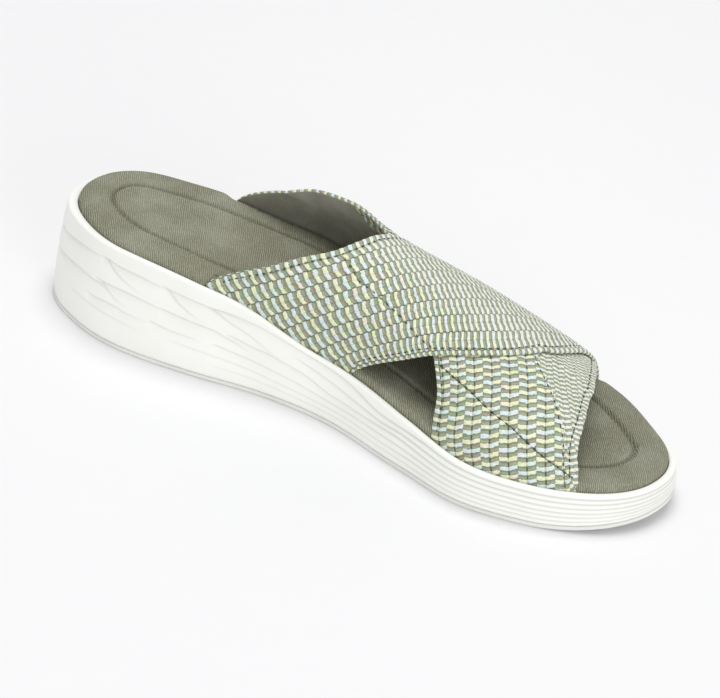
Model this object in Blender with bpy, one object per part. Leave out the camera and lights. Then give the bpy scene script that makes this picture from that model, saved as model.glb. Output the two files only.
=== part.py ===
# Cross strap sandal for the left foot: a wedge sole, a padded footbed and
# two woven straps that cross over the instep. All lengths are in metres.
# X runs from the heel to the toe, Y from the medial to the lateral side, Z up.
# The origin is on the floor under the middle of the whole sandal.
import math

import bpy
import numpy as np

# Main sizes of the last
FOOTBED_LENGTH = 0.250
BALL_WIDTH = 0.088
HEEL_RIM_HEIGHT = 0.0415
TOE_RIM_HEIGHT = 0.0153
INSTEP_RISE = 0.040

# Sole
RIM_LIP = 0.0038
SOLE_FLARE = 0.0076
WALL_BULGE = 0.0010
EDGE_ROUND = 0.0007
OUTSOLE_THICKNESS = 0.0016
TOE_SPRING = 0.0043
TOE_SPRING_LENGTH = 0.035
HEEL_BEVEL = 0.0017
HEEL_BEVEL_LENGTH = 0.012
GROOVE_DEPTH = 0.0009
BED_DEPTH = 0.0035
PART_GAP = 0.0003

# Footbed
FOOTBED_PROUD = 0.0030
FOOTBED_ROUND = 0.0022
PRESSED_INSET = 0.0152
PRESSED_WIDTH = 0.0030
PRESSED_DEPTH = 0.0009

# Straps
STRAP_THICKNESS = 0.0022
STRAP_LAP = 0.0015
PANEL_STEP = 0.00035
PANEL_LAP = 0.006
PANEL_BACKING = 0.0016
TUCK_DEPTH = 0.0029
TUCK_MARGIN = 0.0022
TUCK_RUN = 0.0025
RIB_HEIGHT = 0.00035
LATERAL_LIFT = 0.0045
LIFT_START, LIFT_END = 0.290, 0.512
LIFT_WIDTH = 0.45

LIFT_FALL = 1.5
LAP_RUN = 0.15

# Cross section of one rib of the weave
RIB_PROFILE = (
    # share of the rib's width, share of RIB_HEIGHT
    (0.07, 0.0),
    (0.20, 1.0),
    (0.80, 1.0),
    (0.93, 0.0),
)

# Rounded upper edge of the rim
RIM_ROUNDING = (
    # shares of EDGE_ROUND: down the wall, inwards
    (2.0, 0.0),
    (0.6, 0.4),
    (0.0, 1.4),
)

# Rounded upper edge of the footbed
FOOTBED_ROUNDING = (
    # shares of FOOTBED_ROUND: inwards, below the top
    (0.0, 1.0),
    (0.3, 0.3),
    (1.0, 0.0),
)

# Counts of the mesh
STATION_STEPS = 48
ARCH_STEPS = 23
RIBS_PER_STRAP = 8
PANEL_COLUMNS = 6
INNER_COLUMNS = 6

# Step that the direction of the surface is measured over, as a share of the length and of a turn
NORMAL_STEP = 1e-4

# Exponents of the two halves of each section over the instep
MEDIAL_ROUNDNESS = 2.6
LATERAL_ROUNDNESS = 1.7

# Outline of the footbed: station as a share of the length, then both sides as shares of BALL_WIDTH
OUTLINE = (
    # station, medial, lateral
    (0.000, 0.015, 0.015),
    (0.012, -0.116, 0.150),
    (0.048, -0.228, 0.246),
    (0.140, -0.348, 0.303),
    (0.280, -0.348, 0.345),
    (0.400, -0.302, 0.411),
    (0.520, -0.298, 0.477),
    (0.660, -0.402, 0.511),
    (0.760, -0.482, 0.486),
    (0.860, -0.439, 0.405),
    (0.940, -0.325, 0.257),
    (0.988, -0.166, 0.123),
    (1.000, -0.010, -0.010),
)

# Height of the rim: share of the drop between the heel rim and the toe rim
RIM_PROFILE = (
    # station, share of the drop
    (0.00, 1.000),
    (0.16, 1.000),
    (0.32, 0.855),
    (0.48, 0.412),
    (0.60, 0.279),
    (0.72, 0.137),
    (0.84, 0.046),
    (1.00, 0.000),
)

# Side of the sole: how far the lip and the foot of the wall stand out of the outline
WALL_PROFILE = (
    # station, share of RIM_LIP, share of SOLE_FLARE
    (0.00, 1.00, 1.00),
    (0.08, 0.75, 0.52),
    (0.20, 0.55, 0.26),
    (0.40, 0.50, 0.05),
    (0.60, 0.50, 0.33),
    (0.80, 0.50, 0.12),
    (1.00, 0.55, 0.43),
)

# Side grooves: height of each groove as a share of the wall below the rim
GROOVES = (
    # at the heel, at the forefoot
    (0.19, 0.17),
    (0.31, 0.30),
    (0.43, 0.43),
    (0.53, 0.56),
    (0.62, 0.68),
    (0.73, 0.79),
    (0.85, 0.89),
)
GROOVE_UPPER_LAND = 0.012
GROOVE_HEEL_SLOPE = 0.075
GROOVE_FORE_SLOPE = 0.045
GROOVE_SPACE = 0.004
GROOVE_DRIFT = 0.070
GROOVE_TURN_START, GROOVE_TURN_END = 0.50, 0.70

# Slashes of the heel side: a run of stations, then how deep each groove is cut in that run
SLASHES = (
    # start, end, share of GROOVE_DEPTH for each groove from the top down
    (-0.050, 0.070, 0.9, 0.0, 1.0, 0.0, 0.5, 0.0, 0.3),
    (0.070, 0.190, 1.0, 0.6, 0.9, 0.5, 0.8, 0.0, 0.4),
    (0.190, 0.335, 1.0, 0.0, 1.0, 0.5, 0.7, 0.5, 0.0),
    (0.335, 0.570, 0.9, 0.6, 1.0, 0.3, 0.7, 0.6, 0.5),
)
FORE_GROOVES_START, FORE_GROOVES_FULL = 0.56, 0.74
FORE_GROOVE_DEPTH_SHARE = 0.65
SLASH_SWELL = 0.7

# Sections over the instep: rise above the rim and where the peak stands
INSTEP_SECTIONS = (
    # station, share of INSTEP_RISE, peak offset as a share of BALL_WIDTH
    (0.160, 1.010, 0.023),
    (0.304, 0.918, 0.023),
    (0.376, 0.930, 0.023),
    (0.424, 0.970, 0.023),
    (0.476, 0.965, 0.023),
    (0.560, 0.902, 0.018),
    (0.648, 0.848, 0.011),
    (0.740, 0.778, 0.005),
    (0.808, 0.716, 0.000),
    (0.888, 0.560, -0.010),
    (0.940, 0.400, -0.020),
)

# Edges of the upper strap: turn goes from 0 at the medial rim to 1 at the lateral rim
TOP_STRAP = (
    # turn, heel edge station, toe edge station
    (0.000, 0.292, 0.544),
    (0.070, 0.344, 0.588),
    (0.140, 0.384, 0.626),
    (0.235, 0.424, 0.668),
    (0.360, 0.466, 0.728),
    (0.470, 0.484, 0.780),
    (0.550, 0.492, 0.809),
    (0.650, 0.498, 0.823),
    (0.775, 0.510, 0.825),
    (0.900, 0.532, 0.821),
    (1.000, 0.556, 0.817),
)

# Edges of the lower strap, its seam towards the toe, and the outer edge of the toe panel
LOWER_STRAP = (
    # turn, heel edge station, seam station, toe panel edge station
    (0.000, 0.702, 0.916, 0.925),
    (0.100, 0.696, 0.908, 0.921),
    (0.225, 0.672, 0.896, 0.911),
    (0.345, 0.632, 0.868, 0.903),
    (0.400, 0.610, 0.845, 0.900),
    (0.440, 0.592, 0.820, 0.896),
    (0.475, 0.575, 0.796, 0.890),
    (0.550, 0.538, 0.755, 0.872),
    (0.660, 0.458, 0.690, 0.850),
    (0.700, 0.420, 0.660, 0.844),
    (0.765, 0.330, 0.605, 0.834),
    (0.875, 0.248, 0.506, 0.820),
    (0.960, 0.206, 0.450, 0.812),
    (1.000, 0.196, 0.444, 0.810),
)
PANEL_END_TURN = 0.86


def smooth_curve(table, column, at, scale=1.0, rounded=False):
    """Reads one column of a table at the given places.

    The curve never swings past a row of the table, unless it is rounded, as an outline is.
    """
    places = np.array([row[0] for row in table], float)
    values = np.array([row[column] for row in table], float)
    at = np.asarray(at, float)
    rises = np.diff(values) / np.diff(places)
    slopes = np.concatenate([rises[:1], np.zeros(len(values) - 2), rises[-1:]])
    same_way = rises[:-1] * rises[1:] > 0
    total = np.where(same_way, rises[:-1] + rises[1:], 1.0)
    slopes[1:-1] = np.where(same_way, 2 * rises[:-1] * rises[1:] / total, 0.0)
    if rounded:
        spans = np.diff(places)
        slopes[1:-1] = (rises[:-1] * spans[1:] + rises[1:] * spans[:-1]) / (spans[1:] + spans[:-1])
    index = np.clip(np.searchsorted(places, at) - 1, 0, len(places) - 2)
    span = places[index + 1] - places[index]
    t = np.clip((at - places[index]) / span, 0, 1)
    start = (1 + 2 * t) * (1 - t) ** 2 * values[index] + t * (1 - t) ** 2 * span * slopes[index]
    end = t * t * (3 - 2 * t) * values[index + 1] + t * t * (t - 1) * span * slopes[index + 1]
    return (start + end) * scale


def ease(value):
    t = np.clip(value, 0, 1)
    return t * t * (3 - 2 * t)


def end_angle(station):
    """Turns a station into the angle that spreads the round ends of the outline evenly."""
    return np.arccos(np.clip(1 - 2 * np.asarray(station, float), -1, 1))


OUTLINE_BY_ANGLE = tuple((float(end_angle(row[0])), row[1], row[2]) for row in OUTLINE)


def medial_edge(station):
    return smooth_curve(OUTLINE_BY_ANGLE, 1, end_angle(station), BALL_WIDTH, rounded=True)


def lateral_edge(station):
    return smooth_curve(OUTLINE_BY_ANGLE, 2, end_angle(station), BALL_WIDTH, rounded=True)


def rim_height(station):
    drop = HEEL_RIM_HEIGHT - TOE_RIM_HEIGHT
    return TOE_RIM_HEIGHT + smooth_curve(RIM_PROFILE, 1, station, drop)


def ground_height(station):
    """Height of the underside: flat, with a sprung toe and a bevelled heel."""
    place = np.asarray(station, float) * FOOTBED_LENGTH
    past_ball = np.clip((place - FOOTBED_LENGTH + TOE_SPRING_LENGTH) / TOE_SPRING_LENGTH, 0, 2)
    past_heel = np.clip((HEEL_BEVEL_LENGTH - place) / HEEL_BEVEL_LENGTH, 0, 2)
    return TOE_SPRING * past_ball**2 + HEEL_BEVEL * past_heel**2


def side_stations(straps):
    """Stations of one side, with two of them moved to each edge of a strap that is tucked there."""
    stations = (1 - np.cos(np.linspace(0, math.pi, STATION_STEPS + 1))) / 2
    for edges in straps:
        for edge, outward in zip(edges, (-1, 1)):
            held = edge + outward * TUCK_MARGIN / FOOTBED_LENGTH
            nearest = int(np.argmin(np.abs(stations - held)))
            stations[nearest] = held
            stations[nearest + outward] = held + outward * TUCK_RUN / FOOTBED_LENGTH
    return stations


# Ring of the outline: heel, medial side, toe, lateral side
MEDIAL_TUCKS = ((TOP_STRAP[0][1], TOP_STRAP[0][2]), (LOWER_STRAP[0][1], LOWER_STRAP[0][3]))
LATERAL_TUCKS = ((TOP_STRAP[-1][1], TOP_STRAP[-1][2]), (LOWER_STRAP[-1][1], LOWER_STRAP[-1][2]))
MEDIAL_STATIONS = side_stations(MEDIAL_TUCKS)
LATERAL_STATIONS = side_stations(LATERAL_TUCKS)
RING_STATIONS = np.concatenate([MEDIAL_STATIONS, LATERAL_STATIONS[-2:0:-1]])
RING_SIZE = 2 * STATION_STEPS


def outline_ring():
    medial = medial_edge(MEDIAL_STATIONS)
    lateral = lateral_edge(LATERAL_STATIONS)[-2:0:-1]
    return np.column_stack([RING_STATIONS * FOOTBED_LENGTH, np.concatenate([medial, lateral])])


def ring_normals(ring):
    along = np.roll(ring, -1, axis=0) - np.roll(ring, 1, axis=0)
    across = np.column_stack([along[:, 1], -along[:, 0]])
    return across / np.linalg.norm(across, axis=1)[:, None]


RING = outline_ring()
NORMALS = ring_normals(RING)
RIM = rim_height(RING_STATIONS)
GROUND = ground_height(RING_STATIONS)


def ring_at(outward, height):
    """Points of the outline moved out by a distance, at a height."""
    outward = np.broadcast_to(outward, RING_SIZE)
    height = np.broadcast_to(height, RING_SIZE)
    flat = RING + NORMALS * outward[:, None]
    return np.column_stack([flat, height])


def close_rings(rings):
    """Joins rings from the inside of the underside round to the inside of the top.

    The first and the last ring are filled by strips from the medial to the lateral side.
    """
    points = np.concatenate(rings)
    faces = []
    for level in range(len(rings) - 1):
        for k in range(RING_SIZE):
            a = level * RING_SIZE + k
            b = level * RING_SIZE + (k + 1) % RING_SIZE
            faces.append((a, b, b + RING_SIZE, a + RING_SIZE))
    faces += fill_strips(0, upward=False)
    faces += fill_strips((len(rings) - 1) * RING_SIZE, upward=True)
    return points, faces


def fill_strips(first, upward):
    faces = []
    for k in range(STATION_STEPS):
        a, b = first + k, first + k + 1
        c = first + RING_SIZE - k - 1
        d = first + (RING_SIZE - k) % RING_SIZE
        if k == 0:
            corners = (a, b, c)
        elif k == STATION_STEPS - 1:
            corners = (a, b, d)
        else:
            corners = (a, b, c, d)
        faces.append(corners if upward else corners[::-1])
    return faces


def add_object(name, points, faces, material, shift):
    mesh = bpy.data.meshes.new(name)
    mesh.from_pydata((np.asarray(points) - shift).tolist(), [], faces)
    mesh.validate()
    mesh.shade_smooth()
    mesh.materials.append(material)
    piece = bpy.data.objects.new(name, mesh)
    bpy.context.scene.collection.objects.link(piece)
    return piece


def new_material(name, color, roughness):
    material = bpy.data.materials.new(name)
    material.use_nodes = True
    shader = material.node_tree.nodes["Principled BSDF"]
    shader.inputs["Base Color"].default_value = (*color, 1.0)
    shader.inputs["Roughness"].default_value = roughness
    return material


# Side of the sole
def slash_phase(start, end, station):
    return np.clip((station - start) / (end - start), 0, 1)


def groove_heights(station):
    """Height of every groove below the rim, as shares of the wall: each slash runs down towards the toe."""
    turn = ease((station - GROOVE_TURN_START) / (GROOVE_TURN_END - GROOVE_TURN_START))
    drift = np.zeros_like(station)
    for start, end, *_ in SLASHES:
        inside = (station >= start) & (station < end)
        drift += np.where(inside, GROOVE_DRIFT * (slash_phase(start, end, station) - 0.5), 0)
    return [heel * (1 - turn) + fore * turn + drift * (1 - turn) for heel, fore in GROOVES]


def groove_depth(groove, station):
    depth = np.zeros_like(station)
    for start, end, *shares in SLASHES:
        phase = slash_phase(start, end, station)
        depth = np.maximum(depth, shares[groove] * np.abs(np.sin(math.pi * phase)) ** SLASH_SWELL)
    fore = ease((station - FORE_GROOVES_START) / (FORE_GROOVES_FULL - FORE_GROOVES_START))
    return GROOVE_DEPTH * np.maximum(depth, fore * FORE_GROOVE_DEPTH_SHARE)


def wall_ring(share, depth, foot_height):
    """One ring of the side wall, at a share of its height below the rim."""
    lip = smooth_curve(WALL_PROFILE, 1, RING_STATIONS, RIM_LIP)
    flare = smooth_curve(WALL_PROFILE, 2, RING_STATIONS, SOLE_FLARE)
    out = lip * (1 - share) + flare * share + WALL_BULGE * 4 * share * (1 - share) - depth
    return ring_at(out, RIM * (1 - share) + foot_height * share)


def midsole_rings():
    foot = GROUND + OUTSOLE_THICKNESS + PART_GAP
    none = np.zeros(RING_SIZE)
    slope = GROOVE_HEEL_SLOPE + (GROOVE_FORE_SLOPE - GROOVE_HEEL_SLOPE) * ease(
        (RING_STATIONS - GROOVE_TURN_START) / (GROOVE_TURN_END - GROOVE_TURN_START)
    )
    rings = [wall_ring(np.ones(RING_SIZE), none + EDGE_ROUND, foot)]
    edge_share = EDGE_ROUND / (RIM - foot)
    rings.append(wall_ring(1 - edge_share, none, foot))
    heights = groove_heights(RING_STATIONS)
    below = 1 - edge_share - GROOVE_SPACE
    for groove in reversed(range(len(GROOVES))):
        height = heights[groove]
        depth = groove_depth(groove, RING_STATIONS)
        rings.append(wall_ring(np.minimum(height + slope, below), none, foot))
        rings.append(wall_ring(height, depth, foot))
        rings.append(wall_ring(height - GROOVE_UPPER_LAND, none, foot))
        below = height - GROOVE_UPPER_LAND - GROOVE_SPACE
    for down, inwards in RIM_ROUNDING:
        rings.append(wall_ring(down * edge_share, none + inwards * EDGE_ROUND, foot))
    rings.append(ring_at(0, RIM))
    rings.append(ring_at(0, RIM - BED_DEPTH))
    return rings


def outsole_rings():
    top = GROUND + OUTSOLE_THICKNESS
    flare = smooth_curve(WALL_PROFILE, 2, RING_STATIONS, SOLE_FLARE)
    return [
        ring_at(flare - EDGE_ROUND, GROUND),
        ring_at(flare, GROUND + EDGE_ROUND),
        ring_at(flare, top),
    ]


# Footbed
def strap_inset():
    """How far the footbed gives way where a strap is tucked between it and the rim."""
    on_medial = np.arange(RING_SIZE) <= STATION_STEPS
    margin = (TUCK_MARGIN + TUCK_RUN / 2) / FOOTBED_LENGTH
    inset = np.zeros(RING_SIZE)
    for tucks, side in ((MEDIAL_TUCKS, on_medial), (LATERAL_TUCKS, ~on_medial)):
        for start, end in tucks:
            held = (RING_STATIONS > start - margin) & (RING_STATIONS < end + margin)
            inset[held & side] = STRAP_THICKNESS + RIB_HEIGHT + PART_GAP
    return inset


def footbed_rings():
    give = strap_inset() + PART_GAP
    top = RIM + FOOTBED_PROUD
    profile = [(inwards * FOOTBED_ROUND, below * FOOTBED_ROUND) for inwards, below in FOOTBED_ROUNDING]
    profile += [
        (PRESSED_INSET - PRESSED_WIDTH / 2, 0.0),
        (PRESSED_INSET, PRESSED_DEPTH),
        (PRESSED_INSET + PRESSED_WIDTH / 2, 0.0),
    ]
    rings = [ring_at(-give, RIM - BED_DEPTH + PART_GAP)]
    for inset, drop in profile:
        fade = np.clip(1 - inset / PRESSED_INSET, 0, 1)
        rings.append(ring_at(-give * fade - inset - PART_GAP * (1 - fade), top - drop))
    return rings


# Straps
def last_surface(station, turn):
    """Outer face over the instep at a station, turning from the medial to the lateral rim."""
    base = PART_GAP + RIB_HEIGHT
    rim = rim_height(station)
    rise = smooth_curve(INSTEP_SECTIONS, 1, station, INSTEP_RISE)
    peak = smooth_curve(INSTEP_SECTIONS, 2, station, BALL_WIDTH)
    medial_half = peak - (medial_edge(station) + base)
    lateral_half = (lateral_edge(station) - base) - peak
    on_medial = turn < 0.5
    angle = np.where(on_medial, turn, 1 - turn) * math.pi
    power = 2 / np.where(on_medial, MEDIAL_ROUNDNESS, LATERAL_ROUNDNESS)
    sideways = np.abs(np.cos(angle)) ** power
    upward = np.abs(np.sin(angle)) ** power
    y = peak + np.where(on_medial, -medial_half, lateral_half) * sideways
    return np.stack([station * FOOTBED_LENGTH, y, rim + rise * upward], axis=-1)


def last_normal(station, turn):
    step = NORMAL_STEP
    low, high = np.clip(turn - step, 0, 1), np.clip(turn + step, 0, 1)
    along = last_surface(station + step, turn) - last_surface(station - step, turn)
    around = last_surface(station, high) - last_surface(station, low)
    normal = np.cross(along, around)
    at_rim = (turn < step) | (turn > 1 - step)
    normal[..., 2] = np.where(at_rim, 0, normal[..., 2])
    return normal / np.linalg.norm(normal, axis=-1)[..., None]


def strap_rows(last_turn):
    """Turns of the rows of a strap, with a tucked row under each end that meets the rim."""
    turns = np.linspace(0, last_turn, ARCH_STEPS)
    tucks = np.zeros(len(turns) + 1)
    turns = np.concatenate([[0.0], turns])
    tucks[0] = TUCK_DEPTH
    if last_turn == 1:
        turns = np.append(turns, 1.0)
        tucks = np.append(tucks, TUCK_DEPTH)
    return turns, tucks


def under_lap(turn):
    """Depth of the lower strap: it sinks under the upper strap away from both rims."""
    return STRAP_LAP * ease(turn / LAP_RUN) * ease((1 - turn) / LAP_RUN)


def strap_face(table, start_column, end_column, turns, tucks, across, depth):
    """Grid of points on a strap: rows over the instep, columns from heel edge to toe edge."""
    start = smooth_curve(table, start_column, turns)[:, None]
    end = smooth_curve(table, end_column, turns)[:, None]
    station = start + (end - start) * across[None, :]
    turn = np.broadcast_to(turns[:, None], station.shape)
    points = last_surface(station, turn) - last_normal(station, turn) * depth[..., None]
    points[..., 2] -= tucks[:, None]
    return points


def lateral_lift(table, turns, across):
    """The free heel edge of the lower strap stands off the foot on the lateral side."""
    start = smooth_curve(table, 1, turns)
    middle = np.clip((start - LIFT_START) / (LIFT_END - LIFT_START), 0, 1)
    raised = np.sin(math.pi * middle) * (turns > 0.5)
    fade = np.clip(1 - across / LIFT_WIDTH, 0, 1) ** LIFT_FALL
    return LATERAL_LIFT * raised[:, None] * fade[None, :]


def rib_columns():
    places, heights = [0.0], [0.0]
    for rib in range(RIBS_PER_STRAP):
        for offset, height in RIB_PROFILE:
            places.append((rib + offset) / RIBS_PER_STRAP)
            heights.append(height * RIB_HEIGHT)
    return np.array(places + [1.0]), np.array(heights + [0.0])


def strap_solid(outer, inner):
    """Closes an outer and an inner grid into one wall."""
    rows, outer_columns = outer.shape[:2]
    inner_columns = inner.shape[1]
    points = np.concatenate([outer.reshape(-1, 3), inner.reshape(-1, 3)])
    first_inner = rows * outer_columns

    def outside(row, column):
        return row * outer_columns + column

    def inside(row, column):
        return first_inner + row * inner_columns + column

    faces = []
    for row in range(rows - 1):
        for c in range(outer_columns - 1):
            faces.append((outside(row, c), outside(row, c + 1), outside(row + 1, c + 1), outside(row + 1, c)))
        for c in range(inner_columns - 1):
            faces.append((inside(row, c), inside(row + 1, c), inside(row + 1, c + 1), inside(row, c + 1)))
        faces.append((outside(row, 0), outside(row + 1, 0), inside(row + 1, 0), inside(row, 0)))
        last = (outer_columns - 1, inner_columns - 1)
        faces.append((outside(row, last[0]), inside(row, last[1]), inside(row + 1, last[1]), outside(row + 1, last[0])))
    for row, forward in ((0, False), (rows - 1, True)):
        faces += end_strip(
            [outside(row, c) for c in range(outer_columns)],
            [inside(row, c) for c in range(inner_columns)],
            forward,
        )
    return points, faces


def end_strip(outer, inner, forward):
    """Triangles between the outer and the inner border of one end of a strap."""
    faces = []
    i, j = 0, 0
    while i < len(outer) - 1 or j < len(inner) - 1:
        outer_next = (i + 1) / (len(outer) - 1)
        inner_next = (j + 1) / (len(inner) - 1)
        if j == len(inner) - 1 or (i < len(outer) - 1 and outer_next <= inner_next):
            corners = (outer[i], outer[i + 1], inner[j])
            i += 1
        else:
            corners = (outer[i], inner[j + 1], inner[j])
            j += 1
        faces.append(corners if forward else corners[::-1])
    return faces


def top_strap():
    turns, tucks = strap_rows(1)
    places, ribs = rib_columns()
    inner_places = np.linspace(0, 1, INNER_COLUMNS)
    outer_depth = np.broadcast_to(-ribs[None, :], (len(turns), len(places)))
    inner_depth = np.full((len(turns), INNER_COLUMNS), STRAP_THICKNESS)
    outer = strap_face(TOP_STRAP, 1, 2, turns, tucks, places, outer_depth)
    inner = strap_face(TOP_STRAP, 1, 2, turns, tucks, inner_places, inner_depth)
    return strap_solid(outer, inner)


def lower_strap():
    turns, tucks = strap_rows(1)
    places, ribs = rib_columns()
    inner_places = np.linspace(0, 1, INNER_COLUMNS)
    lap = under_lap(turns)[:, None]
    outer_depth = lap - ribs[None, :] - lateral_lift(LOWER_STRAP, turns, places)
    inner_depth = lap + STRAP_THICKNESS - lateral_lift(LOWER_STRAP, turns, inner_places)
    outer = strap_face(LOWER_STRAP, 1, 2, turns, tucks, places, outer_depth)
    inner = strap_face(LOWER_STRAP, 1, 2, turns, tucks, inner_places, inner_depth)
    return strap_solid(outer, inner)


def toe_panel():
    """Panel between the seam of the lower strap and the toe edge of the upper."""
    turns, tucks = strap_rows(PANEL_END_TURN)
    places = np.linspace(0, 1, PANEL_COLUMNS)
    lap_share = PANEL_LAP / FOOTBED_LENGTH
    table = tuple((row[0], row[2] - lap_share, row[3]) for row in LOWER_STRAP)
    depth = np.broadcast_to((under_lap(turns) + PANEL_STEP)[:, None], (len(turns), PANEL_COLUMNS))
    outer = strap_face(table, 1, 2, turns, tucks, places, depth)
    inner = strap_face(table, 1, 2, turns, tucks, places, depth + PANEL_BACKING)
    return strap_solid(outer, inner)


def join(base, others):
    """Makes one body of the straps where they cross."""
    for other in others:
        modifier = base.modifiers.new("join", "BOOLEAN")
        modifier.operation = "UNION"
        modifier.solver = "EXACT"
        modifier.object = other
    evaluated = base.evaluated_get(bpy.context.evaluated_depsgraph_get())
    joined = bpy.data.meshes.new_from_object(evaluated)
    base.modifiers.clear()
    base.data = joined
    for other in others:
        bpy.data.objects.remove(other, do_unlink=True)


for old in list(bpy.data.objects):
    bpy.data.objects.remove(old, do_unlink=True)

midsole_points, midsole_faces = close_rings(midsole_rings())
outsole_points, outsole_faces = close_rings(outsole_rings())
footbed_points, footbed_faces = close_rings(footbed_rings())

sole = np.concatenate([midsole_points, outsole_points])
SHIFT = np.array([*((sole.min(axis=0) + sole.max(axis=0)) / 2)[:2], sole.min(axis=0)[2]])

midsole_white = new_material("midsole_foam", (0.88, 0.88, 0.86), 0.55)
outsole_white = new_material("outsole_rubber", (0.80, 0.80, 0.78), 0.65)
footbed_olive = new_material("footbed_fabric", (0.26, 0.25, 0.19), 0.90)
strap_weave = new_material("strap_elastic", (0.45, 0.47, 0.36), 0.85)

add_object("midsole", midsole_points, midsole_faces, midsole_white, SHIFT)
add_object("outsole", outsole_points, outsole_faces, outsole_white, SHIFT)
add_object("footbed", footbed_points, footbed_faces, footbed_olive, SHIFT)
upper = add_object("upper", *top_strap(), strap_weave, SHIFT)
lower = add_object("lower_strap", *lower_strap(), strap_weave, SHIFT)
panel = add_object("toe_panel", *toe_panel(), strap_weave, SHIFT)
join(upper, [lower, panel])
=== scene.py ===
import math

import bpy
import numpy as np
from mathutils import Matrix, Vector
from mathutils.kdtree import KDTree


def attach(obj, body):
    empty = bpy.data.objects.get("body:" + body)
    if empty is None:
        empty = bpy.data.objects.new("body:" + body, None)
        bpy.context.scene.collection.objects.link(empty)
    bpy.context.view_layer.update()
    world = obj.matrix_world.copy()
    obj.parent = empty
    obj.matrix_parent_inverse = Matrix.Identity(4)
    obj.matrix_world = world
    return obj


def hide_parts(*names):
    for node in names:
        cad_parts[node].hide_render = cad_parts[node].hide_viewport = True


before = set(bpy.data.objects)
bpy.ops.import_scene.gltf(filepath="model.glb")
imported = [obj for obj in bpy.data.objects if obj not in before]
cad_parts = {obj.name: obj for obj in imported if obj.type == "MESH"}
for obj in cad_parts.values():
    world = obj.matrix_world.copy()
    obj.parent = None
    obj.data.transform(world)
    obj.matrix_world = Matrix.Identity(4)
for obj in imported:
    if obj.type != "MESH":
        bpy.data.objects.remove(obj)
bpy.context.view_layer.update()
print("frame loaded:", ", ".join(sorted(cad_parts)))

# The last that the sole and both straps are shaped on, in metres
last = {
    "length": 0.250,
    "ballWidth": 0.088,
    "heelRim": 0.0415,
    "toeRim": 0.0153,
    "instepRise": 0.040,
    "strapInset": 0.00065,
    "medialRoundness": 2.6,
    "lateralRoundness": 1.7,
    "toeSpring": 0.0043,
    "toeSpringLength": 0.035,
    "heelBevel": 0.0017,
    "heelBevelLength": 0.012,
    "origin": (0.12308083929, 0.00146005865, 0.0),
}

outlineTable = (  # station, medial side, lateral side
    (0.000, 0.015, 0.015),
    (0.012, -0.116, 0.150),
    (0.048, -0.228, 0.246),
    (0.140, -0.348, 0.303),
    (0.280, -0.348, 0.345),
    (0.400, -0.302, 0.411),
    (0.520, -0.298, 0.477),
    (0.660, -0.402, 0.511),
    (0.760, -0.482, 0.486),
    (0.860, -0.439, 0.405),
    (0.940, -0.325, 0.257),
    (0.988, -0.166, 0.123),
    (1.000, -0.010, -0.010),
)

rimTable = (  # station, share of the drop from heel to toe
    (0.00, 1.000),
    (0.16, 1.000),
    (0.32, 0.855),
    (0.48, 0.412),
    (0.60, 0.279),
    (0.72, 0.137),
    (0.84, 0.046),
    (1.00, 0.000),
)

wallTable = (  # station, share of the lip, share of the flare
    (0.00, 1.00, 1.00),
    (0.08, 0.75, 0.52),
    (0.20, 0.55, 0.26),
    (0.40, 0.50, 0.05),
    (0.60, 0.50, 0.33),
    (0.80, 0.50, 0.12),
    (1.00, 0.55, 0.43),
)

instepTable = (  # station, share of the rise, where the peak stands
    (0.160, 1.010, 0.023),
    (0.304, 0.918, 0.023),
    (0.376, 0.930, 0.023),
    (0.424, 0.970, 0.023),
    (0.476, 0.965, 0.023),
    (0.560, 0.902, 0.018),
    (0.648, 0.848, 0.011),
    (0.740, 0.778, 0.005),
    (0.808, 0.716, 0.000),
    (0.888, 0.560, -0.010),
    (0.940, 0.400, -0.020),
)

topEdges = (  # turn from the medial to the lateral rim, heel edge, toe edge
    (0.000, 0.292, 0.544),
    (0.070, 0.344, 0.588),
    (0.140, 0.384, 0.626),
    (0.235, 0.424, 0.668),
    (0.360, 0.466, 0.728),
    (0.470, 0.484, 0.780),
    (0.550, 0.492, 0.809),
    (0.650, 0.498, 0.818),
    (0.775, 0.510, 0.818),
    (0.900, 0.532, 0.818),
    (1.000, 0.556, 0.817),
)

lowerEdges = (  # turn, heel edge, seam, edge of the toe panel
    (0.000, 0.702, 0.916, 0.925),
    (0.100, 0.696, 0.908, 0.921),
    (0.225, 0.670, 0.896, 0.911),
    (0.345, 0.625, 0.868, 0.902),
    (0.400, 0.602, 0.845, 0.896),
    (0.440, 0.587, 0.820, 0.890),
    (0.475, 0.575, 0.796, 0.884),
    (0.550, 0.538, 0.755, 0.874),
    (0.660, 0.458, 0.690, 0.855),
    (0.700, 0.420, 0.660, 0.846),
    (0.765, 0.330, 0.605, 0.834),
    (0.875, 0.248, 0.506, 0.820),
    (0.960, 0.206, 0.450, 0.812),
    (1.000, 0.196, 0.444, 0.810),
)


def smoothCurve(table, column, at, scale=1.0, rounded=False):
    places = np.array([row[0] for row in table], float)
    values = np.array([row[column] for row in table], float)
    at = np.asarray(at, float)
    rises = np.diff(values) / np.diff(places)
    slopes = np.concatenate([rises[:1], np.zeros(len(values) - 2), rises[-1:]])
    sameWay = rises[:-1] * rises[1:] > 0
    total = np.where(sameWay, rises[:-1] + rises[1:], 1.0)
    slopes[1:-1] = np.where(sameWay, 2 * rises[:-1] * rises[1:] / total, 0.0)
    if rounded:
        spans = np.diff(places)
        slopes[1:-1] = (rises[:-1] * spans[1:] + rises[1:] * spans[:-1]) / (spans[1:] + spans[:-1])
    index = np.clip(np.searchsorted(places, at) - 1, 0, len(places) - 2)
    span = places[index + 1] - places[index]
    t = np.clip((at - places[index]) / span, 0, 1)
    start = (1 + 2 * t) * (1 - t) ** 2 * values[index] + t * (1 - t) ** 2 * span * slopes[index]
    end = t * t * (3 - 2 * t) * values[index + 1] + t * t * (t - 1) * span * slopes[index + 1]
    return (start + end) * scale


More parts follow.
